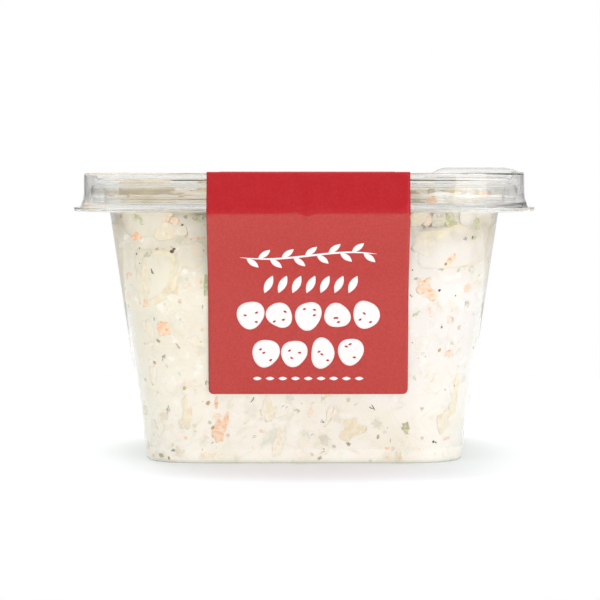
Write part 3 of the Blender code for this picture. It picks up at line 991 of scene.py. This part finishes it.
def pocket_depth(point):
    """How far the dressing falls back from the wall, from 0 to 1: air pockets, more of them under the rim.
    The same value paints shade, brown, into the dressing.
    """
    broad = noise.noise(point / (12 * MM) + Vector((5, 1, 2)))
    fine = noise.noise(point / (4.5 * MM) + Vector((1, 7, 3)))
    under_rim = smoothstep(50 * MM, 59 * MM, point.z)
    at_rim = smoothstep(60 * MM, 63 * MM, point.z)
    right_heap = smoothstep(28 * MM, 34 * MM, point.x) * smoothstep(59 * MM, 62 * MM, point.z)
    bar = 0.6 - 0.7 * under_rim - 0.4 * at_rim + 0.9 * right_heap
    # Near the top the dressing falls back a little all round, and this also paints a band of shade there.
    loose = 0.3 * smoothstep(58 * MM, 61 * MM, point.z)
    return max(smoothstep(bar, bar + 0.5, broad + 0.25 * fine), loose)


def make_dressing(material):
    """The body of the salad, which fills the tub and reaches just into its wall."""
    bm = bmesh.new()
    bmesh.ops.create_cube(bm, size=2)
    bmesh.ops.subdivide_edges(bm, edges=bm.edges, cuts=DRESSING_CUTS, use_grid_fill=True)
    shade = bm.verts.layers.float.new("pocket_shade")
    floor = FOOT_SHEET - DRESSING_REACH
    for vert in bm.verts:
        u, v, w = vert.co
        x, y = onto_rounded_square(u, v, WALL_TOP_HALF, WALL_TOP_STRAIGHT)
        z = floor + (w + 1) / 2 * (top_height(x, y) - floor)
        half, straight = inside_outline(z)
        half += DRESSING_REACH
        x, y = onto_rounded_square(u, v, half, straight)
        vert.co = (x, y, z)
        if max(abs(u), abs(v)) > 0.999:
            vert[shade] = pocket_depth(Vector((x, y, z)))
            vert.co -= plan_distance(x, y, half, straight)[1] * vert[shade] * POCKET_DEPTH
    bmesh.ops.recalc_face_normals(bm, faces=bm.faces)
    add_piece("dressing", bm, material, "salad")


def press(vert, reach):
    """Sets a vertex softly back to this far into the wall or foot. Gives its millimetres in from the rim."""
    half, straight = inside_outline(vert.co.z)
    distance, way = plan_distance(vert.co.x, vert.co.y, half, straight)
    past_wall, past_floor = distance - DRESSING_REACH, FOOT_SHEET - DRESSING_REACH - vert.co.z
    past_top = vert.co.z - top_height(vert.co.x, vert.co.y)
    past, out = max(((past_wall, way), (past_floor, -UP), (past_top, UP)), key=lambda side: side[0])
    facing = min(max(vert.normal.dot(out), 0.05), 0.9)
    inside = past * facing / math.sqrt(1 - facing ** 2) if past > 0 else past
    step = (reach - DRESSING_REACH) * (1 - math.exp(-max(inside, 0) / SOFT_RIM))
    vert.co -= way * max(past_wall - step, 0)
    vert.co.z += max(past_floor - step, 0)
    vert.co.z = min(vert.co.z, LID_UNDER + reach)
    return inside / MM


def around(t, z, depth):
    """A place this deep inside the tub's wall, t of the way round, with the way out."""
    side, along = divmod(t * 4, 1)
    turn = Matrix.Rotation(side * math.pi / 2, 2)
    u, v = turn @ Vector((2 * along - 1, -1))
    half, straight = inside_outline(z)
    x, y = onto_rounded_square(u, v, half, straight)
    out = plan_distance(x, y, half, straight)[1]
    return Vector((x, y, z)) - out * depth, out


def on_front(x, z, depth):
    """A place this deep inside the front wall, with the way out."""
    return Vector((x, depth - inside_outline(z)[0], z)), Vector((0, -1, 0))


def scatter(draw, walls, top, foot, depth):
    """Random places on the walls, the top and the foot, each with the way out."""
    for _ in range(walls):
        yield around(draw.random(), draw.uniform(*SCATTER_HEIGHTS), depth * draw.uniform(0.3, 1.4))
    for _ in range(top):
        x, y = (draw.uniform(-1, 1) * SCATTER_TOP_HALF for _ in range(2))
        yield Vector((x, y, top_height(x, y) - depth * draw.uniform(-0.2, 0.8))), UP
    for _ in range(foot):
        x, y = (draw.uniform(-1, 1) * SCATTER_FOOT_HALF for _ in range(2))
        yield Vector((x, y, FOOT_SHEET + depth * draw.uniform(0.3, 1.4))), -UP


def lay(spot, out, roll):
    """Puts a shape's Y axis along the way out, rolled round it."""
    turn = out.to_track_quat("Y", "Z").to_matrix().to_4x4()
    return Matrix.Translation(spot) @ turn @ Matrix.Rotation(roll, 4, "Y")


def unit_ball(steps):
    """A mesh of a round ball, to copy."""
    bm = bmesh.new()
    bmesh.ops.create_icosphere(bm, subdivisions=steps, radius=1)
    return into_mesh("ball", bm)


BALLS = {steps: unit_ball(steps) for steps in (2, 3, 4)}


def add_ball(bm, steps):
    """Adds a copy of the ball and gives its vertices."""
    first = len(bm.verts)
    bm.from_mesh(BALLS[steps])
    bm.verts.ensure_lookup_table()
    return bm.verts[first:]


def new_heap():
    """An empty mesh for pieces, with layers for how far they show, their veil of dressing and their reach."""
    bm = bmesh.new()
    return bm, [bm.verts.layers.float.new(name) for name in ("show", "veil", "reach")]


def finish_heap(name, heap, material):
    """Presses all the pieces of a heap against the wall, the foot and the lid."""
    bm, (show, veil, reach) = heap
    bm.normal_update()
    for vert in bm.verts:
        vert[show] = press(vert, vert[reach])
    bm.verts.layers.float.remove(reach)
    add_piece(name, bm, material, "salad")


def add_lump(heap, size, place, reach, cover, seed, rough, steps=4, power=3.2):
    """A block with uneven faces, squarer for a higher power, pressed against the wall."""
    bm, (show, veil, wall_reach) = heap
    shift = Vector((seed, seed * 0.7, 0))
    reach += REACH_SPREAD * (seed * 0.618 % 1)
    for vert in add_ball(bm, steps):
        spread = sum(abs(value) ** power for value in vert.co) ** (1 / power)
        point = vert.co / spread * (1 + rough * noise.noise(vert.co * 1.6 + shift))
        vert.co = place @ Vector([a * b / 2 for a, b in zip(point, size)])
        vert[veil], vert[wall_reach] = cover, reach


def add_curl(heap, spot, out, roll, length, width, bend, cover):
    """A thin curved strip against the wall, this much bent."""
    bm, (show, veil, wall_reach) = heap
    turn = lay(spot, out, roll)
    for vert in add_ball(bm, 2):
        t = vert.co.x
        z = vert.co.z * width / 2 + bend * length * (t * t - 0.5)
        vert.co = turn @ Vector((t * length / 2, vert.co.y * width * 0.45, z))
        vert[veil], vert[wall_reach] = cover, SPECK_REACH


# The front's own pieces, with places and sizes in millimetres

FRONT_POTATOES = (
    # x, z, width, height, roll, veil
    (-35.6, 47.0, 11.8, 15.2, 0.12, -0.1), (35.5, 53.6, 23, 11.0, 0.10, 0.3),
    (-27.5, 52.0, 8.0, 8.0, 0.3, 0.45), (-37.6, 59.8, 13, 8.0, 0.0, 0.5), (42.2, 61.0, 9, 7, 0.0, 0.4),
)
FRONT_PALE = (
    # x, z, width, height, roll, veil
    (-8.6, 14.4, 3.4, 6.5, -0.15, 0.4), (-6.0, 6.4, 2.8, 10.5, -0.25, 0.5),
    (-28.6, 13.5, 2.6, 8.7, -0.1, 0.25), (-27.9, 20.2, 4.6, 0.8, 0.3, 0.35),
    (-26.8, 18.2, 1.6, 1.1, 0.0, 0.25), (-28.2, 43.9, 2.2, 1.5, 0.2, 0.15),
    (40.3, 19.4, 1.6, 4.4, 0.05, 0.2), (39.9, 15.6, 1.6, 4.6, 0.2, 0.25),
    (28.6, 53.8, 6.0, 5.2, 0.0, 0.6), (36.2, 12.0, 4.6, 2.4, 0.35, 0.3), (34.4, 9.6, 2.2, 3.8, 0.45, 0.4),
    (-39.7, 45.6, 1.4, 7.6, 0.05, 0.35), (-35.8, 40.6, 7.0, 1.6, 0.3, 0.35),
    (-30.7, 46.8, 1.6, 7.5, -0.35, 0.2), (-23.1, 2.0, 5.9, 2.5, 0.0, 0.45),
    (-32.1, 57.4, 7.4, 4.6, 0.1, 0.45), (0.4, 5.2, 3.4, 3.4, 0.5, 0.55),
    (6.0, 12.1, 1.3, 6.2, -0.3, 0.45), (7.6, 13.0, 1.0, 5.0, -0.4, 0.5),
    (-42.6, 43.5, 1.5, 6.5, -0.12, 0.55), (28.0, 60.6, 5.4, 3.8, 0.35, 0.25),
    (6.0, 17.0, 1.8, 1.2, 0.2, 0.15), (-14.1, 10.5, 2.0, 0.9, 0.7, 0.35),
    (-24.0, 6.9, 1.6, 2.0, 0.4, 0.35), (-18.1, 14.9, 0.9, 3.0, -0.3, 0.35),
    (-26.6, 30.5, 2.2, 2.7, 0.3, 0.45), (27.9, 3.7, 2.0, 1.5, 0.0, 0.55),
    (11.6, 9.0, 6.4, 5.6, 0.3, 0.15), (-38.0, 8.5, 3.6, 3.0, 0.2, 0.65),
    (22.6, 14.0, 3.0, 1.0, 0.3, 0.65), (30.2, 22.0, 1.8, 1.2, 0.2, 0.4),
    (-39.0, 33.0, 2.0, 4.0, 0.2, 0.65), (38.7, 13.4, 1.7, 3.2, 0.55, 0.25),
)
FRONT_CARROTS = (
    # x, z, width, height, roll, veil
    (-43.3, 55.7, 2.4, 1.0, 0.4, -0.2), (-41.4, 56.1, 2.2, 0.7, -0.6, 0.0),
    (-34.3, 33.5, 3.2, 3.3, 0.15, 0.2), (-21.4, 15.3, 0.9, 3.1, -0.05, -0.1),
    (-20.1, 10.0, 3.2, 8.2, -0.32, 0.25), (-18.6, 7.0, 0.9, 1.0, 0.0, -0.3),
    (-29.1, 6.4, 0.9, 0.9, 0.0, -0.4), (20.4, 3.9, 1.3, 0.9, 0.2, -0.2),
    (29.2, 43.9, 4.2, 3.6, 0.2, 0.25), (30.4, 42.0, 3.6, 2.4, -0.3, 0.45),
    (27.8, 45.3, 1.0, 1.0, 0.0, -0.4), (35.8, 50.4, 2.6, 1.5, 0.8, 0.3),
    (-31.2, 59.6, 2.2, 2.0, 0.4, 0.35), (-33.6, 60.2, 2.4, 1.6, 0.0, 0.6),
    (-25.9, 55.4, 5.2, 0.5, 0.1, 0.2), (-25.3, 53.1, 3.6, 3.6, 0.0, 0.8),
    (-31.0, 43.5, 0.8, 1.2, 0.3, 0.4), (31.0, 37.6, 1.8, 2.4, 0.2, 0.6), (35.6, 35.6, 1.0, 1.5, 0.0, 0.6),
    (37.1, 6.0, 2.2, 0.6, 0.25, 0.4), (1.8, 13.7, 0.9, 4.2, -0.2, 0.55), (30.7, 64.4, 2.2, 1.8, 0.0, 0.1),
    (29.9, 59.8, 1.6, 3.0, -0.5, 0.45), (25.0, 33.6, 1.8, 1.1, 0.4, 0.4),
)
FRONT_GREENS = (
    # x, z, width, height, roll, veil
    (-40.4, 60.1, 0.8, 2.6, 0.4, 0.35), (-25.5, 60.4, 2.3, 1.6, 0.1, -0.1),
    (-25.4, 62.6, 2.2, 1.2, 0.2, 0.3), (-27.6, 62.9, 1.5, 1.0, 0.0, 0.45),
    (-38.3, 51.5, 1.9, 0.8, 0.6, 0.45), (44.3, 59.4, 1.4, 1.6, 0.5, 0.35),
    (45.0, 57.9, 2.0, 0.8, -0.2, 0.25), (24.9, 9.4, 2.4, 2.0, 0.2, 0.0), (25.0, 8.0, 1.2, 1.2, 0.2, -0.5),
    (35.0, 59.9, 2.6, 3.0, 0.3, 0.15), (32.3, 59.9, 3.2, 3.4, 0.1, 0.6),
    (43.4, 55.6, 1.6, 0.6, 0.6, -0.2), (27.1, 37.0, 2.3, 0.8, 0.5, -0.1),
    (-38.1, 1.7, 0.8, 1.0, 0.3, 0.0), (-23.6, 44.3, 1.5, 5.6, 0.05, -0.5),
)
FRONT_HERBS = (
    # x, z, length, roll, branches, veil
    (16.5, 14.6, 3.4, -1.0, 2, -0.2), (-37.4, 47.4, 1.7, -1.1, 1, -0.3), (-12.5, 7.2, 2.9, -0.35, 2, 0.1),
    (-12.6, 16.3, 2.5, 1.25, 0, -0.1), (-4.9, 14.8, 2.2, 0.9, 1, 0.3), (-3.9, 14.3, 2.0, 0.7, 0, 0.35),
    (-1.7, 13.4, 2.4, 0.1, 1, 0.2), (-23.7, 20.5, 2.2, 1.2, 3, 0.0), (-34.8, 26.3, 2.2, 1.0, 2, 0.4),
    (-34.0, 13.4, 2.6, 1.3, 3, 0.5), (-30.7, 29.2, 2.0, -0.9, 1, 0.5), (30.5, 49.2, 1.8, -0.3, 0, 0.3),
    (33.1, 47.9, 1.9, 0.1, 1, 0.5), (28.3, 49.4, 1.9, 0.2, 1, 0.6), (4.4, 10.9, 2.4, -0.9, 1, 0.4),
    (3.9, 8.6, 1.5, 0.6, 1, 0.4), (4.9, 2.9, 2.9, 0.3, 2, 0.4), (14.9, 3.9, 2.4, 0.4, 3, 0.45),
    (27.0, 21.9, 2.0, 0.8, 2, 0.4), (-0.6, 10.4, 0.9, 0.9, 0, 0.0), (4.4, 1.6, 1.1, 0.2, 0, 0.3),
    (35.6, 18.3, 1.0, -0.4, 0, 0.4), (-32.8, 3.2, 1.9, 0.2, 2, 0.4), (-22.3, 5.3, 1.6, 0.5, 0, 0.4),
    (21.4, 6.3, 2.4, 1.2, 1, 0.4), (20.3, 1.7, 1.0, 0.2, 0, 0.4), (40.3, 55.3, 1.9, 0.1, 2, 0.5),
    (-24.6, 39.0, 2.4, 1.5, 0, 0.5), (2.2, 7.3, 1.7, 0.4, 1, 0.2), (13.4, 15.2, 3.4, 0.45, 0, 0.6),
)
FRONT_SPECKS = (
    # x, z, size
    (-29.4, 58.7, 0.8), (-31.9, 52.3, 1.1), (-31.4, 52.9, 0.9), (-41.9, 53.0, 0.4), (-43.6, 51.6, 0.5),
    (-42.3, 49.3, 0.35), (26.2, 47.8, 0.5), (32.8, 42.8, 0.7), (37.6, 41.5, 0.4), (33.6, 33.8, 0.6),
    (26.3, 30.0, 0.45), (20.4, 9.0, 0.4), (23.8, 5.5, 0.35), (39.6, 19.2, 0.4), (32.2, 5.4, 0.7),
    (33.0, 5.2, 0.5), (27.8, 26.2, 0.4), (29.5, 26.6, 0.3), (-29.4, 35.2, 0.35), (-0.6, 15.0, 0.4),
    (43.4, 55.6, 0.7), (2.3, 15.2, 0.35), (26.0, 60.2, 0.5), (37.0, 36.0, 0.3),
)
FRONT_SEEDS = (
    # x, z, size
    (-23.5, 15.1, 1.45), (-22.2, 9.0, 1.15), (34.3, 49.2, 0.8), (-34.6, 1.2, 0.9), (-24.9, 3.6, 0.5),
)


def lay_front(table, depth):
    """The front wall's own places from a table, with each row's other values."""
    for x, z, *rest in table:
        yield on_front(x * MM, z * MM, depth), rest


def crowds_front(spot, out, turned=FACES_FRONT):
    """Whether a scattered piece would crowd the front of the wall or foot, which has its own."""
    on_wall = out.y < turned and spot.z < FRONT_TOP_Z
    return on_wall or (out.z < 0 and spot.y < FRONT_FOOT_Y)


def make_potatoes(material):
    """Potato chunks against the wall, the foot and in the top, none of them in another."""
    draw = random.Random(SALAD_SEED)
    heap = new_heap()
    taken = []
    front = lay_front(FRONT_POTATOES, POTATO_FRONT_DEPTH)
    for index, ((spot, out), (width, height, roll, cover)) in enumerate(front):
        size = (width * MM, POTATO_THICKNESS, height * MM)
        add_lump(heap, size, lay(spot, out, roll), POTATO_REACH, cover, index, rough=0.22)
        taken.append(spot)
    for index, (spot, out) in enumerate(scatter(draw, *POTATO_COUNTS, POTATO_DEPTH)):
        size = [draw.uniform(*POTATO_SIZES) * MM, POTATO_THICKNESS, draw.uniform(*POTATO_SIZES) * MM]
        place, cover = lay(spot, out, draw.uniform(0, 3)), draw.uniform(0.0, 0.6)
        clear = all((spot - other).length > POTATO_GAP for other in taken)
        if clear and not crowds_front(spot, out, FACES_CORNER):
            add_lump(heap, size, place, POTATO_REACH, cover, index + POTATO_SEED, rough=0.25)
            taken.append(spot)
    finish_heap("potato_chunks", heap, material)


def make_bits(name, material, table, seed, counts, widths, heights, veils):
    """Cut vegetables: the front's own, then scattered ones of random sizes."""
    draw = random.Random(SALAD_SEED + seed)
    heap = new_heap()
    for index, ((spot, out), (width, height, roll, cover)) in enumerate(lay_front(table, BIT_DEPTH)):
        size = (width * MM, BIT_THICKNESS, height * MM)
        add_lump(heap, size, lay(spot, out, roll), BIT_REACH, cover, index + seed, rough=0.5)
    for index, (spot, out) in enumerate(scatter(draw, *counts, BIT_DEPTH)):
        size = [draw.uniform(*widths) * MM, BIT_THICKNESS, draw.uniform(*heights) * MM]
        place, cover = lay(spot, out, draw.uniform(0, 3)), draw.uniform(*veils)
        cover += CORNER_VEIL * (out.y < FACES_CORNER)
        if not crowds_front(spot, out):
            add_lump(heap, size, place, BIT_REACH, cover, index + seed, rough=0.5, steps=3)
    finish_heap(name, heap, material)


def add_herb(heap, spot, out, length, roll, branches, cover, draw):
    """A scrap of herb: a stem with side blades."""
    width = draw.uniform(0.22, 0.42) * MM
    add_curl(heap, spot, out, roll, length, width, draw.uniform(-0.2, 0.2), cover)
    across = lay(spot, out, roll).to_3x3()
    for branch in range(branches):
        side = (-1) ** branch
        lean = side * (0.6 + 0.25 * branch)
        step = length * Vector((0.1 * branch - 0.15, 0, side * -0.12))
        blade = draw.uniform(0.35, 0.6) * length
        add_curl(heap, spot + across @ step, out, roll + lean, blade, width * 0.8, 0.15, cover)


def make_herbs(material):
    """Scraps of dill and parsley."""
    draw = random.Random(SALAD_SEED + HERB_SEED)
    heap = new_heap()
    for (spot, out), (length, roll, branches, cover) in lay_front(FRONT_HERBS, 0):
        add_herb(heap, spot, out, length * MM, roll, branches, cover, draw)
    for spot, out in scatter(draw, *HERB_COUNTS, HERB_DEPTH):
        length, roll, cover = draw.uniform(0.8, 2.6) * MM, draw.uniform(0, 3), draw.uniform(0.0, 0.8)
        add_herb(heap, spot, out, length, roll, draw.randint(0, 2), cover, draw)
    finish_heap("herb_scraps", heap, material)


def make_grains(name, material, front, seed, counts, sizes, most_veil):
    """Pepper specks or mustard seeds, at the front's own places and scattered."""
    draw = random.Random(SALAD_SEED + seed)
    heap = new_heap()
    places = [(spot, out, size) for (spot, out), (size,) in lay_front(front, 0)]
    places += [(spot, out, draw.uniform(*sizes)) for spot, out in scatter(draw, *counts, GRAIN_DEPTH)]
    for index, (spot, out, size) in enumerate(places):
        cover = -0.2 if index < len(front) else draw.uniform(-0.1, most_veil)
        block = (size * MM, size * 0.85 * MM, size * draw.uniform(0.75, 1.0) * MM)
        place = lay(spot, out, draw.uniform(0, 3))
        add_lump(heap, block, place, SPECK_REACH, cover, index, rough=0.35, steps=2, power=2)
    finish_heap(name, heap, material)


# The studio, in metres

FLOOR_RADIUS = 0.25
CAMERA_PLACE = (-1.0 * MM, -700 * MM, 71.97 * MM)
CAMERA_TIP = 2.753                   # degrees below level
CAMERA_LENS, CAMERA_SENSOR = 162.5, 36.0
PLASTIC_BOUNCES, CLEAR_BOUNCES = 64, 24
SOFTBOXES = (
    # name, place, aim, width, height, power, mirrored
    ("softbox_above", (-0.08, 0.42, 1.05), (0, 0, 0), 0.7, 0.5, 5.5, False),
    ("softbox_wide", (0, 0, 1.5), (0, 0, 0), 1.8, 1.8, 10, False),
    ("softbox_right", (0.62, -0.8, 0.2), (0, 0, 0.03), 0.8, 0.45, 1.9, True),
    ("softbox_front", (0.05, -1.0, 0.08), (0, 0, 0.02), 0.9, 0.1, 3.7, False),
)

# How bright the studio looks to the light from each side, where the eye sees 1 all round
BACK_LEVEL = 0.75
BACK_ASIDE_SHARE = 0.5
RIGHT_LEVEL, LEFT_LEVEL = 0.25, 0.25
TOP_LEVEL = 0.55
DIM_LEFT, DIM_RIGHT = 0.11, 0.22


def make_floor():
    """A white floor."""
    bm = bmesh.new()
    bmesh.ops.create_circle(bm, cap_ends=True, radius=FLOOR_RADIUS, segments=96)
    material, _, shader = new_material("studio_white", 0.9)
    shader.inputs["Base Color"].default_value = (*FLOOR_WHITE, 1)
    shader.inputs["Specular IOR Level"].default_value = 0.1
    mesh = into_mesh("studio_floor", bm)
    mesh.materials.append(material)
    add_object("studio_floor", mesh)


def add_softbox(name, place, aim, width, height, power, mirrored):
    """A rectangular soft lamp. One that isn't mirrored leaves no image of itself in the plastic."""
    lamp = bpy.data.lights.new(name, "AREA")
    lamp.shape = "RECTANGLE"
    lamp.size = width
    lamp.size_y = height
    lamp.energy = power
    holder = add_object(name, lamp)
    holder.location = place
    holder.rotation_euler = (Vector(aim) - Vector(place)).to_track_quat("-Z", "Y").to_euler()
    holder.visible_glossy = holder.visible_transmission = mirrored


def make_world():
    """White all round to the eye. For the light it is bright behind the pack and dim on the camera's side."""
    world = bpy.data.worlds.new("studio")
    bpy.context.scene.world = world
    world.use_nodes = True
    tree = world.node_tree
    way = add_parts(tree, tree.nodes.new("ShaderNodeTexCoord").outputs["Generated"])
    behind = add_range(tree, way["Y"], 0.86, 0.96, 0.0, BACK_LEVEL)
    below = add_range(tree, way["Z"], -0.02, 0.0, BACK_LEVEL, 0.0)
    aside = add_math(tree, "ABSOLUTE", way["X"], 0.0)
    middle = add_range(tree, aside, 0.14, 0.30, 1.0, BACK_ASIDE_SHARE)
    back = add_math(tree, "MULTIPLY", add_math(tree, "MAXIMUM", behind, below), middle)
    right = add_range(tree, way["X"], 0.6, 0.9, 0.0, RIGHT_LEVEL)
    raised, past_camera = add_range(tree, way["Z"], 0.1, 0.35), add_range(tree, way["Y"], -0.85, -0.5)
    above = add_math(tree, "MULTIPLY", raised, past_camera)
    above = add_math(tree, "MAXIMUM", above, add_range(tree, way["Z"], 0.6, 0.75))
    above = add_math(tree, "MULTIPLY", above, TOP_LEVEL)
    dim = add_range(tree, way["X"], -0.8, -0.3, DIM_LEFT, DIM_RIGHT)
    dim = add_math(tree, "ADD", dim, add_range(tree, way["X"], -0.95, -0.75, LEFT_LEVEL, 0.0))
    brightest = add_math(tree, "MAXIMUM", back, add_math(tree, "MAXIMUM", right, above))
    sky = add_math(tree, "ADD", brightest, dim)
    path = tree.nodes.new("ShaderNodeLightPath")
    strength = add_math(tree, "MAXIMUM", sky, path.outputs["Is Camera Ray"])
    background = tree.nodes["Background"]
    background.inputs["Color"].default_value = (1, 1, 1, 1)
    tree.links.new(strength, background.inputs["Strength"])


def make_camera():
    """The photograph's view: level with the lid, a long lens, tipped down a little."""
    camera = bpy.data.cameras.new("camera")
    camera.sensor_width = CAMERA_SENSOR
    camera.lens = CAMERA_LENS
    holder = add_object("camera", camera)
    holder.location = CAMERA_PLACE
    holder.rotation_euler = (math.radians(90 - CAMERA_TIP), 0, 0)
    bpy.context.scene.camera = holder


def set_picture():
    """Plain colours, and enough bounces for the layers of clear plastic."""
    scene = bpy.context.scene
    scene.view_settings.view_transform = "Standard"
    scene.cycles.max_bounces = PLASTIC_BOUNCES
    scene.cycles.transmission_bounces = PLASTIC_BOUNCES
    scene.cycles.glossy_bounces = PLASTIC_BOUNCES
    scene.cycles.transparent_max_bounces = CLEAR_BOUNCES
    scene.cycles.use_denoising = True


def main():
    """Builds every piece and the studio."""
    relief = relief_group()
    tone_and_light = tone_and_light_group()
    veil = veil_group(tone_and_light)
    tub_plastic = clear_plastic("clear_tub", relief, *TUB_PLASTIC)
    lid_plastic = clear_plastic("clear_lid", relief, *LID_PLASTIC)
    red = label_front(relief)
    make_tub(tub_plastic)
    make_lid(lid_plastic)
    make_finger_pad(lid_plastic)
    make_label(red, plain_print("label_paper", relief, *LABEL_PAPER))
    make_print(plain_print("label_white_ink", relief, *WHITE_INK), red)

    minced = minced_group()
    make_dressing(dressing_material(relief, minced, tone_and_light))
    make_potatoes(potato_material(relief, veil, tone_and_light))
    pale = bit_material("pale_vegetable", relief, veil, PALE_VEGETABLE, scale=700.0, edge=0.6)
    make_bits("pale_bits", pale, FRONT_PALE, seed=6,
              counts=(90, 40, 20), widths=(1.0, 5.5), heights=(0.8, 3.0), veils=(0.0, 0.6))
    make_bits("carrot_bits", carrot_material(relief, veil), FRONT_CARROTS, seed=1,
              counts=(60, 40, 20), widths=(0.8, 3.8), heights=(0.7, 2.8), veils=(-0.1, 0.7))
    green = bit_material("celery", relief, veil, CELERY, scale=1000.0)
    make_bits("celery_bits", green, FRONT_GREENS, seed=2,
              counts=(44, 30, 14), widths=(0.9, 4.0), heights=(0.8, 2.2), veils=(0.0, 0.75))
    make_herbs(bit_material("herb", relief, veil, HERB, scale=1500.0, edge=0.08))
    pepper = bit_material("pepper", relief, veil, PEPPER, scale=2500.0, edge=0.08)
    make_grains("pepper_specks", pepper, FRONT_SPECKS, seed=4,
                counts=(170, 90, 44), sizes=(0.2, 0.6), most_veil=0.6)
    mustard = bit_material("mustard_seed", relief, veil, MUSTARD_SEED, scale=1500.0, edge=0.1)
    make_grains("mustard_seeds", mustard, FRONT_SEEDS, seed=5,
                counts=(50, 30, 14), sizes=(0.6, 1.4), most_veil=0.5)

    make_floor()
    for softbox in SOFTBOXES:
        add_softbox(*softbox)
    make_world()
    make_camera()
    set_picture()


main()
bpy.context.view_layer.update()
for ball in BALLS.values():
    bpy.data.meshes.remove(ball)
